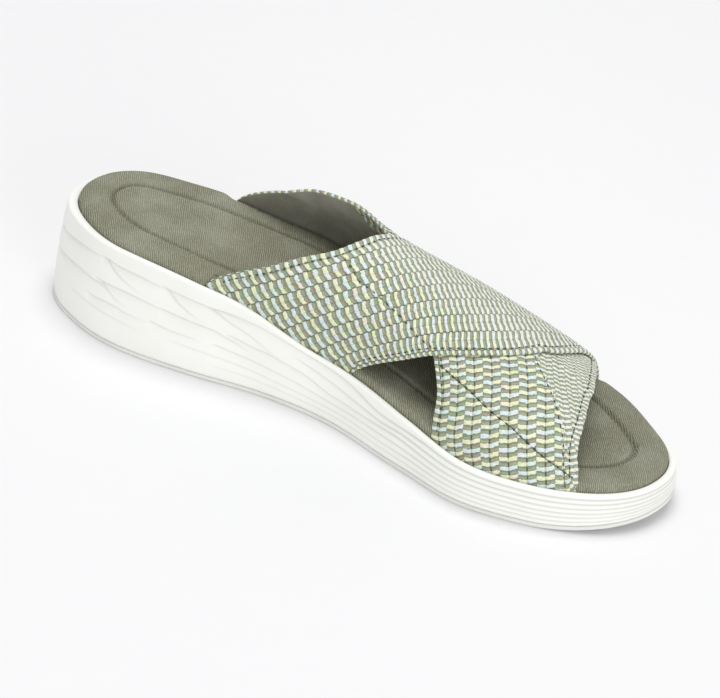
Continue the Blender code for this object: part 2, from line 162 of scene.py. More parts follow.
def ease(value):
    t = np.clip(value, 0, 1)
    return t * t * (3 - 2 * t)


def endAngle(station):
    return np.arccos(np.clip(1 - 2 * np.asarray(station, float), -1, 1))


outlineByAngle = tuple((float(endAngle(row[0])), row[1], row[2]) for row in outlineTable)


def medialEdge(station):
    return smoothCurve(outlineByAngle, 1, endAngle(station), last["ballWidth"], rounded=True)


def lateralEdge(station):
    return smoothCurve(outlineByAngle, 2, endAngle(station), last["ballWidth"], rounded=True)


def rimHeight(station):
    return last["toeRim"] + smoothCurve(rimTable, 1, station, last["heelRim"] - last["toeRim"])


def groundHeight(station):
    place = np.asarray(station, float) * last["length"]
    pastBall = np.clip((place - last["length"]) / last["toeSpringLength"] + 1, 0, 2)
    pastHeel = np.clip(1 - place / last["heelBevelLength"], 0, 2)
    return last["toeSpring"] * pastBall**2 + last["heelBevel"] * pastHeel**2


def lastSurface(station, turn):
    inset = last["strapInset"]
    peak = smoothCurve(instepTable, 2, station, last["ballWidth"])
    medialHalf = peak - (medialEdge(station) + inset)
    lateralHalf = (lateralEdge(station) - inset) - peak
    onMedial = turn < 0.5
    angle = np.where(onMedial, turn, 1 - turn) * math.pi
    power = 2 / np.where(onMedial, last["medialRoundness"], last["lateralRoundness"])
    y = peak + np.where(onMedial, -medialHalf, lateralHalf) * np.abs(np.cos(angle)) ** power
    rise = smoothCurve(instepTable, 1, station, last["instepRise"])
    z = rimHeight(station) + rise * np.abs(np.sin(angle)) ** power
    return np.stack([station * last["length"], y, z], axis=-1)


def lastNormal(station, turn):
    step = 1e-4
    low, high = np.clip(turn - step, 0, 1), np.clip(turn + step, 0, 1)
    along = lastSurface(station + step, turn) - lastSurface(station - step, turn)
    around = lastSurface(station, high) - lastSurface(station, low)
    normal = np.cross(along, around)
    atRim = (turn < step) | (turn > 1 - step)
    normal[..., 2] = np.where(atRim, 0, normal[..., 2])
    return unit(normal)


def unit(vectors):
    return vectors / np.maximum(np.linalg.norm(vectors, axis=-1), 1e-12)[..., None]


# Meshes


def makePiece(name, points, faces, materials, faceSlots=None, fabric=None, marks=None):
    mesh = bpy.data.meshes.new(name)
    mesh.from_pydata((np.asarray(points) - last["origin"]).tolist(), [], faces)
    for material in materials:
        mesh.materials.append(material)
    if faceSlots is not None:
        mesh.polygons.foreach_set("material_index", np.asarray(faceSlots, np.int32))
    if fabric is not None:  # place on the cloth: rows along a rib, ribs across
        corners = np.zeros(len(mesh.loops), np.int32)
        mesh.loops.foreach_get("vertex_index", corners)
        layer = mesh.uv_layers.new(name="cloth")
        layer.uv.foreach_set("vector", fabric[corners].astype(np.float32).ravel())
    for label, values in (marks or {}).items():  # masks that the material reads
        mesh.attributes.new(label, "FLOAT", "POINT").data.foreach_set("value", values.astype(np.float32))
    mesh.shade_smooth()
    mesh.update()
    piece = bpy.data.objects.new(name, mesh)
    bpy.context.scene.collection.objects.link(piece)
    return piece


def outlineStations(steps):
    return (1 - np.cos(np.linspace(0, math.pi, steps + 1))) / 2


# Ring round the footbed: heel, medial side, toe, lateral side
class Outline:
    def __init__(self, steps):
        side = outlineStations(steps)
        self.steps = steps
        self.size = 2 * steps
        self.stations = np.concatenate([side, side[-2:0:-1]])
        self.medial = np.arange(self.size) <= steps
        across = np.concatenate([medialEdge(side), lateralEdge(side)[-2:0:-1]])
        self.flat = np.column_stack([self.stations * last["length"], across])
        along = np.roll(self.flat, -1, axis=0) - np.roll(self.flat, 1, axis=0)
        self.outward = unit(np.column_stack([along[:, 1], -along[:, 0]]))
        self.rim = rimHeight(self.stations)
        self.ground = groundHeight(self.stations)
        self.lip = smoothCurve(wallTable, 1, self.stations)
        self.flare = smoothCurve(wallTable, 2, self.stations)

    def ring(self, out, height, rounds=0):
        flat = self.flat + self.outward * np.broadcast_to(out, self.size)[:, None]
        for _ in range(rounds):  # evens out the corners that a deep inset brings
            flat = flat / 2 + (np.roll(flat, 1, axis=0) + np.roll(flat, -1, axis=0)) / 4
        return np.column_stack([flat, np.broadcast_to(height, self.size)])


def ringFaces(levels, size, first=0):
    a = np.arange(size)
    b = (a + 1) % size
    faces = []
    for level in range(levels - 1):
        low = first + level * size
        faces.append(np.column_stack([low + a, low + b, low + b + size, low + a + size]))
    return np.concatenate(faces)


def fillGrid(border, first, steps, columns, nextIndex, upward):
    # joins the medial to the lateral half of a ring, with extra points between them
    size = 2 * steps
    shares = np.arange(1, columns) / columns
    inner = []
    rows = np.zeros((steps + 1, columns + 1), int)
    for k in range(steps + 1):
        a, d = k, (size - k) % size
        rows[k, 0], rows[k, -1] = first + a, first + d
        if 0 < k < steps and columns > 1:
            rows[k, 1:-1] = nextIndex + len(inner) * (columns - 1) + np.arange(columns - 1)
            inner.append(border[a] + (border[d] - border[a]) * shares[:, None])
        else:
            rows[k, 1:-1] = first + a
    faces = []
    for k in range(steps):
        for j in range(columns):
            corners = [rows[k, j], rows[k + 1, j], rows[k + 1, j + 1], rows[k, j + 1]]
            whole = [c for i, c in enumerate(corners) if c != corners[i - 1]]
            faces.append(whole if upward else whole[::-1])
    points = np.concatenate(inner) if inner and columns > 1 else np.zeros((0, 3))
    return points, faces


# Shader helpers


def linear(code):
    parts = [int(code[i : i + 2], 16) / 255 for i in (0, 2, 4)]
    return tuple(p / 12.92 if p <= 0.04045 else ((p + 0.055) / 1.055) ** 2.4 for p in parts)


def put(tree, socket, value):
    if isinstance(value, bpy.types.NodeSocket):
        tree.links.new(value, socket)
    elif value is not None:
        if socket.type == "RGBA" and len(value) == 3:
            value = (*value, 1.0)
        socket.default_value = value


def addNode(tree, kind, inputs=None, **settings):
    node = tree.nodes.new("ShaderNode" + kind)
    for name, value in settings.items():
        setattr(node, name, value)
    for name, value in (inputs or {}).items():
        put(tree, node.inputs[name], value)
    return node


def calc(tree, operation, a, b=None, c=None):
    node = tree.nodes.new("ShaderNodeMath")
    node.operation = operation
    for socket, value in zip(node.inputs, (a, b, c)):
        put(tree, socket, value)
    return node.outputs[0]


def blendColors(tree, share, a, b):
    node = tree.nodes.new("ShaderNodeMix")
    node.data_type = "RGBA"
    put(tree, node.inputs[0], share)
    put(tree, node.inputs[6], a)
    put(tree, node.inputs[7], b)
    return node.outputs[2]


def rangeOf(tree, value, low, high, outLow=0.0, outHigh=1.0):
    node = tree.nodes.new("ShaderNodeMapRange")
    node.interpolation_type = "SMOOTHSTEP"
    for socket, part in zip(node.inputs[:5], (value, low, high, outLow, outHigh)):
        put(tree, socket, part)
    return node.outputs[0]


def newGroup(name, inputs, outputs):
    tree = bpy.data.node_groups.new(name, "ShaderNodeTree")
    for label, kind, value in inputs:
        socket = tree.interface.new_socket(label, in_out="INPUT", socket_type="NodeSocket" + kind)
        if value is not None:
            socket.default_value = value
    for label, kind in outputs:
        tree.interface.new_socket(label, in_out="OUTPUT", socket_type="NodeSocket" + kind)
    return tree, tree.nodes.new("NodeGroupInput").outputs, tree.nodes.new("NodeGroupOutput").inputs


def useGroup(tree, group, inputs):
    node = tree.nodes.new("ShaderNodeGroup")
    node.node_tree = group
    for name, value in inputs.items():
        put(tree, node.inputs[name], value)
    return node.outputs


def newMaterial(name, **values):
    material = bpy.data.materials.new(name)
    material.use_nodes = True
    tree = material.node_tree
    shader = tree.nodes["Principled BSDF"]
    for label, value in values.items():
        put(tree, shader.inputs[label.replace("_", " ")], value)
    return material, tree, shader


def addBump(tree, shader, height, distance):
    bump = addNode(tree, "Bump", {"Strength": 1.0, "Distance": distance, "Height": height})
    tree.links.new(bump.outputs["Normal"], shader.inputs["Normal"])


def objectPlace(tree):
    return addNode(tree, "TexCoord").outputs["Object"]


# Grain: fine cells and slow patches, for foam, rubber and suede
speckle = {
    "detail": 3.0,
    "patchDetail": 4.0,
    "patchRange": (0.35, 0.68),
    "speckRange": (0.4, 0.6),
    "speckShare": 0.25,
}

grain, gIn, gOut = newGroup(
    "fineGrain",
    [
        ("Place", "Vector", None),
        ("Grain Size", "Float", 1500.0),
        ("Patch Size", "Float", 40.0),
        ("Base", "Color", (0.8, 0.8, 0.8, 1)),
        ("Patch", "Color", (0.7, 0.7, 0.7, 1)),
        ("Patch Share", "Float", 0.4),
    ],
    [("Color", "Color"), ("Height", "Float"), ("Patches", "Float")],
)


def noiseOf(tree, place, scale, detail):
    return addNode(tree, "TexNoise", {"Vector": place, "Scale": scale, "Detail": detail}).outputs["Fac"]


def grainNodes(tree):
    cells = noiseOf(tree, gIn["Place"], gIn["Grain Size"], speckle["detail"])
    slow = noiseOf(tree, gIn["Place"], gIn["Patch Size"], speckle["patchDetail"])
    patches = rangeOf(tree, slow, *speckle["patchRange"])
    speck = calc(tree, "MULTIPLY", rangeOf(tree, cells, *speckle["speckRange"]), speckle["speckShare"])
    share = calc(tree, "MULTIPLY", calc(tree, "ADD", patches, speck), gIn["Patch Share"])
    put(tree, gOut["Color"], blendColors(tree, share, gIn["Base"], gIn["Patch"]))
    put(tree, gOut["Height"], cells)
    put(tree, gOut["Patches"], patches)


grainNodes(grain)

# Weave of the elastic: light and olive floats that change places from rib to rib
weave = {
    "ribWidth": 0.0065,
    "coarsePitch": 0.0032,
    "finePitch": 0.0023,
    "lightShare": 0.52,
    "relief": 0.00042,
    "waver": 0.04,
    "waverByRow": 0.9,
    "waverByRib": 2.3,
    "frayScale": 4.5,
    "fray": 0.34,
    "fuzzScale": 6.0,
    "fuzzShare": 0.35,
    "strands": 6.0,
    "strandShade": 0.42,
    "floatEdge": 0.07,
    "lineStart": 0.02,
    "lineEnd": 0.075,
    "lineOverLight": 0.62,
    "sideWidth": 0.16,
    "sideShade": 0.42,
    "sideOverLight": 0.65,
    "betweenWidth": 0.10,
    "belowStart": 0.12,
    "belowShade": 0.42,
    "oliveHump": 0.66,
    "humpPower": 0.6,
    "columnPower": 0.5,
    "columnShare": 0.35,
    "diveWidth": 0.07,
    "diveDepth": 0.5,
    "lightDive": 0.4,
    "lights": ("F5F9DC", "EDF3C8", "F4EEDA", "E1F0F2", "DFF4EC", "EAF0F4"),
    "olives": ("AEB394", "ACA78C", "A3B090", "A8AC99"),
    # colour of the painted shade in the weave's recesses
    "gap": "383B31",
    # colour of the painted shade between the strands of a float
    "strandGap": "55564A",
    "fuzzColor": "F4F4EC",
    "fineLight": "F3F5EA",
    "fineOlive": "AFB4A2",
    "roughRange": (0.62, 0.95),
    "bump": 0.00012,
}

# A yarn is swapped for another where its random number is over this, or for "grey" under it
yarnChances = {"cream": 0.93, "aqua": 0.45, "pale": 0.72, "brown": 0.6, "green": 0.68, "grey": 0.2}

# Where the rows are narrow: wider light floats, paler colours, weaker lines
fineRows = {"moreLight": 0.08, "light": 0.72, "olive": 0.75, "line": 0.45}

cloth, cIn, cOut = newGroup(
    "wovenElastic",
    [
        ("Cloth", "Vector", None),
        ("First Slant", "Float", -0.12),
        ("Second Slant", "Float", 0.25),
        ("Dark Line", "Float", 0.5),
        ("Light Share", "Float", weave["lightShare"]),
        ("Line Strength", "Float", 0.8),
        ("Fine", "Float", 0.0),
    ],
    [("Color", "Color"), ("Height", "Float"), ("Gap Shade", "Float")],
)


def floatColors(tree, pick, flip):
    # each float draws its own yarn: a light one, warm and cool by turns, and an olive one
    def oneOf(part, yarn, a, b, test="GREATER_THAN"):
        return blendColors(tree, calc(tree, test, pick[part], yarnChances[yarn]), a, b)

    def whereFine(amount, color, code):
        share = calc(tree, "MULTIPLY", cIn["Fine"], fineRows[amount])
        return blendColors(tree, share, color, linear(weave[code]))

    lights = [linear(code) for code in weave["lights"]]
    olives = [linear(code) for code in weave["olives"]]
    warm = oneOf(1, "cream", blendColors(tree, pick[0], lights[0], lights[1]), lights[2])
    cool = oneOf(1, "pale", oneOf(0, "aqua", lights[3], lights[4]), lights[5])
    light = whereFine("light", blendColors(tree, flip, warm, cool), "fineLight")
    dark = oneOf(2, "green", oneOf(0, "brown", olives[0], olives[1]), olives[2])
    dark = whereFine("olive", oneOf(2, "grey", dark, olives[3], "LESS_THAN"), "fineOlive")
    return light, dark


def weaveNodes(tree):
    def m(*parts):
        return calc(tree, *parts)

    def turned(value):
        return m("SUBTRACT", 1.0, value)

    split = addNode(tree, "SeparateXYZ", {"Vector": cIn["Cloth"]}).outputs
    rows, ribs = split[0], split[1]
    pair = m("FLOOR", ribs)
    across = m("SUBTRACT", ribs, pair)
    second = m("GREATER_THAN", across, 0.5)
    local = m("SUBTRACT", m("MULTIPLY", across, 2.0), second)
    odd = m("ABSOLUTE", m("MODULO", pair, 2.0))

    # the row that a place belongs to, and how far it is through that row
    firstPart = m("MULTIPLY", cIn["First Slant"], m("MAXIMUM", second, local))
    secondPart = m("MULTIPLY", cIn["Second Slant"], m("MULTIPLY", second, local))
    beat = m("ADD", m("MULTIPLY", rows, weave["waverByRow"]), m("MULTIPLY", pair, weave["waverByRib"]))
    waver = m("MULTIPLY", m("SINE", beat), weave["waver"])
    frayed = noiseOf(tree, cIn["Cloth"], weave["frayScale"], 2.0)
    waver = m("ADD", waver, m("MULTIPLY", m("SUBTRACT", frayed, 0.5), weave["fray"]))
    row = m("ADD", m("ADD", rows, m("MULTIPLY", odd, 0.5)), waver)
    row = m("SUBTRACT", row, m("ADD", firstPart, secondPart))
    number = m("FLOOR", row)
    phase = m("SUBTRACT", row, number)
    share = m("ADD", cIn["Light Share"], m("MULTIPLY", cIn["Fine"], fineRows["moreLight"]))

    column = m("ADD", m("MULTIPLY", pair, 2.0), second)
    cell = addNode(tree, "CombineXYZ", {"X": number, "Y": column}).outputs[0]
    chance = addNode(tree, "TexWhiteNoise", {"Vector": cell}, noise_dimensions="2D").outputs
    pick = addNode(tree, "SeparateColor", {"Color": chance["Color"]}).outputs
    flip = m("ABSOLUTE", m("MODULO", m("ADD", number, m("MULTIPLY", odd, second)), 2.0))
    light, dark = floatColors(tree, pick, flip)
    edge = weave["floatEdge"]
    isLight = m(
        "MULTIPLY",
        rangeOf(tree, phase, 0.0, edge),
        rangeOf(tree, phase, m("SUBTRACT", share, edge), share, 1.0, 0.0),
    )
    color = blendColors(tree, isLight, dark, light)

    # fine strands in each float, with painted shade in the grooves between them
    strands = m("COSINE", m("MULTIPLY", phase, 2 * math.pi * weave["strands"]))
    strands = m("ADD", m("MULTIPLY", strands, 0.5), 0.5)
    fuzz = noiseOf(tree, cIn["Cloth"], weave["fuzzScale"], 3.0)
    streak = m("MULTIPLY", m("MULTIPLY", strands, rangeOf(tree, fuzz, 0.3, 0.7)), weave["strandShade"])
    color = blendColors(tree, streak, color, linear(weave["strandGap"]))
    fuzzed = rangeOf(tree, fuzz, 0.5, 0.8, 0.0, weave["fuzzShare"])
    color = blendColors(tree, fuzzed, color, linear(weave["fuzzColor"]))

    # painted shade in the weave's recesses: the dark line that the floats dive into, both sides of a column
    # and between rows; and a painted shadow below each light float
    shifted = m("ADD", m("SUBTRACT", across, cIn["Dark Line"]), 0.5)
    fromLine = m("ABSOLUTE", m("SUBTRACT", m("FRACT", shifted), 0.5))
    coarse = turned(m("MULTIPLY", cIn["Fine"], fineRows["line"]))
    dash = turned(m("MULTIPLY", isLight, weave["lineOverLight"]))
    dash = m("MULTIPLY", dash, m("MULTIPLY", cIn["Line Strength"], coarse))
    line = m("MULTIPLY", rangeOf(tree, fromLine, weave["lineStart"], weave["lineEnd"], 1.0, 0.0), dash)
    onOlive = turned(m("MULTIPLY", isLight, weave["sideOverLight"]))
    width, shade = weave["sideWidth"], weave["sideShade"]
    side = m("MULTIPLY", rangeOf(tree, local, 0.0, width, shade, 0.0), onOlive)
    farSide = m("MULTIPLY", rangeOf(tree, local, 1 - width, 1.0, 0.0, shade), onOlive)
    toRow = m("MINIMUM", phase, m("ABSOLUTE", m("SUBTRACT", phase, share)))
    toRow = m("MINIMUM", toRow, turned(phase))
    nearRow = rangeOf(tree, toRow, 0.0, weave["betweenWidth"], 1.0, 0.0)
    between = m("MULTIPLY", nearRow, rangeOf(tree, fuzz, 0.35, 0.65, 0.05, 0.5))
    # painted shadow: the olive float goes darker below each light float
    below = rangeOf(tree, phase, m("ADD", share, weave["belowStart"]), 1.0, 0.0, weave["belowShade"])
    below = m("MULTIPLY", below, turned(isLight))
    gapShade = m("MAXIMUM", m("MAXIMUM", line, between), m("MAXIMUM", m("MAXIMUM", side, farSide), below))

    # painted shade: the colour goes toward the dark gap colour by this mask
    put(tree, cOut["Color"], blendColors(tree, gapShade, color, linear(weave["gap"])))
    height = m("SUBTRACT", m("ADD", m("MULTIPLY", strands, -0.35), m("MULTIPLY", fuzz, 0.5)), gapShade)
    put(tree, cOut["Height"], height)
    put(tree, cOut["Gap Shade"], gapShade)


weaveNodes(cloth)

# Twill of the footbed: fine ribs that run slantwise
twillLook = {
    "base": "71715F",
    "thread": "B8B7A2",
    "pitch": 0.00074,
    "bump": 0.00018,
    "cosine": 0.80,
    "sine": 0.60,
    "driftScale": 260.0,
    "drift": 1.5,
    "beat": 1.3,
    "beatShift": 0.5,
    "wornScale": 55.0,
    "wornShare": 0.10,
    "wornColor": (1.0, 1.0, 0.92),
    "fleckScale": 900.0,
    "fleckLow": 0.55,
}

twill, tIn, tOut = newGroup(
    "fineTwill",
    [
        ("Place", "Vector", None),
        ("Base", "Color", (0.3, 0.3, 0.25, 1)),
        ("Thread", "Color", (0.4, 0.4, 0.35, 1)),
        ("Pitch", "Float", 0.0011),
    ],
    [("Color", "Color"), ("Height", "Float")],
)


def twillNodes(tree):
    def m(*parts):
        return calc(tree, *parts)

    def wave(value):
        return m("ADD", m("MULTIPLY", m("SINE", m("MULTIPLY", value, 2 * math.pi)), 0.5), 0.5)

    cosine, sine = twillLook["cosine"], twillLook["sine"]
    x, y = addNode(tree, "SeparateXYZ", {"Vector": tIn["Place"]}).outputs[:2]
    slanted = m("DIVIDE", m("ADD", m("MULTIPLY", x, cosine), m("MULTIPLY", y, sine)), tIn["Pitch"])
    drift = noiseOf(tree, tIn["Place"], twillLook["driftScale"], 2.0)
    slanted = m("ADD", slanted, m("MULTIPLY", drift, twillLook["drift"]))
    crosswise = m("DIVIDE", m("SUBTRACT", m("MULTIPLY", y, cosine), m("MULTIPLY", x, sine)), tIn["Pitch"])
    beat = m("MULTIPLY", m("FLOOR", slanted), twillLook["beatShift"])
    beat = m("ADD", m("MULTIPLY", crosswise, twillLook["beat"]), beat)
    height = m("MULTIPLY", wave(slanted), m("ADD", m("MULTIPLY", wave(beat), 0.5), 0.5))
    worn = noiseOf(tree, tIn["Place"], twillLook["wornScale"], 5.0)
    fleck = noiseOf(tree, tIn["Place"], twillLook["fleckScale"], 2.0)
    share = m("MULTIPLY", height, rangeOf(tree, fleck, 0.3, 0.7, twillLook["fleckLow"], 1.0))
    color = blendColors(tree, share, tIn["Base"], tIn["Thread"])
    worn = rangeOf(tree, worn, 0.4, 0.75, 0.0, twillLook["wornShare"])
    color = blendColors(tree, worn, color, twillLook["wornColor"])
    put(tree, tOut["Color"], color)
    put(tree, tOut["Height"], height)


twillNodes(twill)
print("node groups built")

# Materials
finishes = {
    "foamWhite": {
        "rough": 0.48, "specular": 0.35, "grainSize": 2200.0, "patchSize": 28.0, "patchShare": 0.5,
        "base": "FAFBF6", "patch": "F4F5EE", "roughRange": (0.44, 0.54), "bump": 0.00006,
        # the end of the next line: strength and colour of the painted shade in the slashes of the side
        "creaseShadeShare": 0.42, "paintedCreaseShade": "8F9088",
    },
    "rubberWhite": {
        "rough": 0.6, "specular": 0.3, "grainSize": 1500.0, "patchSize": 35.0, "patchShare": 0.6,
        "base": "EEEEEB", "patch": "E2E2DC", "roughRange": (0.55, 0.7), "bump": 0.00008,
    },
    "liningSuede": {
        "rough": 0.95, "specular": 0.15, "grainSize": 1400.0, "patchSize": 60.0, "patchShare": 0.8,
        "base": "A9A89C", "patch": "8B8A7F", "bump": 0.0002,
    },
    "threadDark": {
        "rough": 0.8, "specular": 0.2, "grainSize": 2500.0, "patchSize": 300.0, "patchShare": 0.7,
        "base": "33342C", "patch": "4A4B40", "bump": 0.0001,
    },
    "floorWhite": {
        "rough": 0.9, "specular": 0.1, "grainSize": 90.0, "patchSize": 3.0, "patchShare": 0.4,
        "base": "F2F2F3", "patch": "EFEFF1",
    },
}


def grainMaterial(name):
    look = finishes[name]
    material, tree, shader = newMaterial(name, Roughness=look["rough"], Specular_IOR_Level=look["specular"])
    got = useGroup(tree, grain, {
        "Place": objectPlace(tree), "Grain Size": look["grainSize"], "Patch Size": look["patchSize"],
        "Base": linear(look["base"]), "Patch": linear(look["patch"]), "Patch Share": look["patchShare"],
    })
    color = got["Color"]
    # painted shade: the foam's colour is darkened in the slashes by the mark that the midsole carries
    if "paintedCreaseShade" in look:  # dark in the slashes, by the mark "crease"
        paintedCreaseShade = addNode(tree, "Attribute", attribute_name="paintedCreaseShade").outputs["Fac"]
        shade = calc(tree, "MULTIPLY", paintedCreaseShade, look["creaseShadeShare"])
        color = blendColors(tree, shade, color, linear(look["paintedCreaseShade"]))
    put(tree, shader.inputs["Base Color"], color)
    if "roughRange" in look:
        rough = rangeOf(tree, got["Patches"], 0.0, 1.0, *look["roughRange"])
        put(tree, shader.inputs["Roughness"], rough)
    if "bump" in look:
        addBump(tree, shader, got["Height"], look["bump"])
    return material


foamWhite = grainMaterial("foamWhite")
rubberWhite = grainMaterial("rubberWhite")
liningSuede = grainMaterial("liningSuede")
threadDark = grainMaterial("threadDark")

footbedTwill, tree, shader = newMaterial("footbedTwill", Roughness=0.88, Specular_IOR_Level=0.2)
got = useGroup(tree, twill, {
    "Place": objectPlace(tree), "Pitch": twillLook["pitch"],
    "Base": linear(twillLook["base"]), "Thread": linear(twillLook["thread"]),
})
put(tree, shader.inputs["Base Color"], got["Color"])
addBump(tree, shader, got["Height"], twillLook["bump"])


def elasticMaterial(name, slants, darkLine, lineStrength):
    # the attribute "fine" is 1 where the rows are narrow, so that their colours run together
    material, tree, shader = newMaterial(name, Roughness=0.72, Specular_IOR_Level=0.25)
    place = addNode(tree, "UVMap", uv_map="cloth").outputs["UV"]
    fine = addNode(tree, "Attribute", attribute_name="fine").outputs["Fac"]
    got = useGroup(tree, cloth, {
        "Cloth": place, "First Slant": slants[0], "Second Slant": slants[1], "Dark Line": darkLine,
        "Line Strength": lineStrength, "Fine": fine,
    })
    put(tree, shader.inputs["Base Color"], got["Color"])
    put(tree, shader.inputs["Roughness"], rangeOf(tree, got["Gap Shade"], 0.0, 1.0, *weave["roughRange"]))
    addBump(tree, shader, got["Height"], weave["bump"])
    return material


print("materials built")

# Midsole: wedge with slashes cut into its side, which run into the grooves of the forefoot
wedge = {
    "sideSteps": 340,
    "wallRows": 112,
    "lip": 0.0038,
    "flare": 0.0076,
    "bulge": 0.0010,
    "shoulder": 0.0012,
    "shoulderRows": 6,
    "footRound": 0.0005,
    "footUnder": 2.0,  # inset under the edge, in rounds
    "footCorner": 0.4,
    "foot": 0.0019,
    "rimMiddle": 0.0001,
    "bedEdge": 0.0003,
    "bedEdgeDrop": 0.00003,
    "bedDepth": 0.0035,
    "bedWall": 0.9,  # share of the depth where the floor's corner starts
    "bedFloor": 0.0005,
    "creaseDepth": 0.00125,
    "creaseFade": 0.0024,
    "foreDepth": 0.00075,
    "foreFade": 0.0009,
    "foreStart": 0.50,
    "foreRun": 0.20,
    "creaseEdge": 0.00045,
    "shadeWidth": 0.00045,
    "shadeBelow": 0.3,
}

slashes = (  # each runs through: station, share of the wall below the rim, depth
    ((-0.025, 0.27, 0.0), (-0.01, 0.25, 0.9), (0.03, 0.225, 1.0), (0.072, 0.18, 0.8),
     (0.118, 0.15, 0.3), (0.14, 0.145, 0.0)),
    ((0.118, 0.14, 0.0), (0.128, 0.14, 1.0), (0.156, 0.16, 1.0), (0.196, 0.17, 0.8),
     (0.235, 0.185, 0.2), (0.26, 0.2, 0.0)),
    ((0.125, 0.14, 0.0), (0.132, 0.155, 0.8), (0.143, 0.21, 0.7), (0.16, 0.27, 0.5),
     (0.191, 0.33, 0.15), (0.21, 0.36, 0.0)),
    ((0.228, 0.165, 0.0), (0.237, 0.17, 1.0), (0.275, 0.18, 1.0), (0.309, 0.18, 0.8),
     (0.341, 0.17, 0.4), (0.38, 0.16, 0.0)),
    ((0.233, 0.17, 0.0), (0.24, 0.19, 0.8), (0.259, 0.28, 0.6), (0.289, 0.35, 0.2), (0.31, 0.38, 0.0)),
    ((0.3, 0.19, 0.0), (0.309, 0.18, 1.0), (0.371, 0.13, 0.9), (0.422, 0.08, 0.8), (0.474, 0.06, 0.8),
     (0.51, 0.07, 0.8), (0.55, 0.11, 0.9), (0.612, 0.21, 0.9), (0.655, 0.17, 0.9), (0.715, 0.11, 0.9),
     (0.8, 0.12, 0.9), (1.0, 0.12, 0.8)),
    ((0.305, 0.19, 0.0), (0.315, 0.2, 0.7), (0.338, 0.25, 0.6), (0.373, 0.29, 0.5), (0.396, 0.33, 0.3),
     (0.43, 0.37, 0.0)),
    ((-0.02, 0.5, 0.0), (0.0, 0.48, 0.9), (0.031, 0.455, 1.0), (0.081, 0.42, 0.9), (0.12, 0.43, 0.5),
     (0.156, 0.5, 0.0)),
    ((0.112, 0.39, 0.0), (0.122, 0.39, 1.0), (0.162, 0.39, 1.0), (0.2, 0.4, 0.8), (0.219, 0.41, 0.5),
     (0.25, 0.42, 0.0)),
    ((0.12, 0.39, 0.0), (0.13, 0.42, 0.6), (0.15, 0.5, 0.4), (0.18, 0.56, 0.0)),
    ((0.225, 0.41, 0.0), (0.234, 0.41, 1.0), (0.273, 0.42, 1.0), (0.311, 0.42, 0.9),
     (0.343, 0.46, 0.6), (0.371, 0.5, 0.2), (0.4, 0.54, 0.0)),
    ((0.335, 0.41, 0.0), (0.345, 0.41, 1.0), (0.376, 0.42, 1.0), (0.419, 0.39, 0.9),
     (0.461, 0.39, 0.9), (0.479, 0.42, 0.9), (0.518, 0.5, 0.8), (0.56, 0.5, 0.7), (0.61, 0.46, 0.8),
     (0.66, 0.4, 0.9), (0.72, 0.41, 0.9), (1.0, 0.41, 0.8)),
    ((0.44, 0.2, 0.0), (0.47, 0.22, 0.5), (0.52, 0.28, 0.6), (0.56, 0.33, 0.7), (0.61, 0.35, 0.8),
     (0.66, 0.28, 0.9), (0.72, 0.26, 0.9), (1.0, 0.26, 0.8)),
    ((0.095, 0.6, 0.0), (0.107, 0.6, 0.8), (0.145, 0.585, 0.8), (0.175, 0.61, 0.5), (0.215, 0.61, 0.0)),
    ((0.21, 0.59, 0.0), (0.219, 0.59, 0.7), (0.248, 0.61, 0.6), (0.282, 0.6, 0.3), (0.3, 0.6, 0.0)),
    ((0.315, 0.59, 0.0), (0.323, 0.59, 0.8), (0.361, 0.6, 0.8), (0.399, 0.6, 0.7), (0.45, 0.6, 0.6),
     (0.52, 0.64, 0.6), (0.6, 0.6, 0.7), (0.66, 0.56, 0.8), (0.72, 0.56, 0.9), (1.0, 0.56, 0.8)),
    ((0.05, 0.7, 0.0), (0.08, 0.7, 0.4), (0.15, 0.72, 0.4), (0.2, 0.74, 0.0)),
    ((0.24, 0.72, 0.0), (0.27, 0.72, 0.4), (0.38, 0.74, 0.4), (0.48, 0.76, 0.5), (0.6, 0.74, 0.6),
     (0.7, 0.7, 0.9), (1.0, 0.7, 0.8)),
    ((0.3, 0.85, 0.0), (0.36, 0.85, 0.3), (0.5, 0.87, 0.4), (0.62, 0.86, 0.6), (0.72, 0.85, 0.9),
     (1.0, 0.85, 0.8)),
)


def slashDepth(station, share, wallHeight):
    # a sharp step inwards at each line, which fades out again below it, and a mask of painted shade just
    # below each line
    fore = ease((station - wedge["foreStart"]) / wedge["foreRun"])
    full = wedge["creaseDepth"] * (1 - fore) + wedge["foreDepth"] * fore
    fade = wedge["creaseFade"] * (1 - fore) + wedge["foreFade"] * fore
    depth = np.zeros(share.shape)
    shade = np.zeros(share.shape)
    for line in slashes:
        for signed in ((station, -station) if line[0][0] < 0 else (station,)):
            start, end = line[0][0], line[-1][0]
            at = np.clip(signed, start, end)
            strength = smoothCurve(line, 2, at) * ((signed >= start) & (signed <= end))
            below = (share - smoothCurve(line, 1, at)) * wallHeight
            step = ease(below / wedge["creaseEdge"] + 0.5)
            depth = np.maximum(depth, full * strength * step * np.exp(-np.maximum(below, 0) / fade))
            # painted shade mask: a narrow band just below each line, which darkens the foam's colour
            fromShade = below / wedge["shadeWidth"] - wedge["shadeBelow"]
            shade = np.maximum(shade, strength * np.exp(-(fromShade**2)))
    return depth, shade


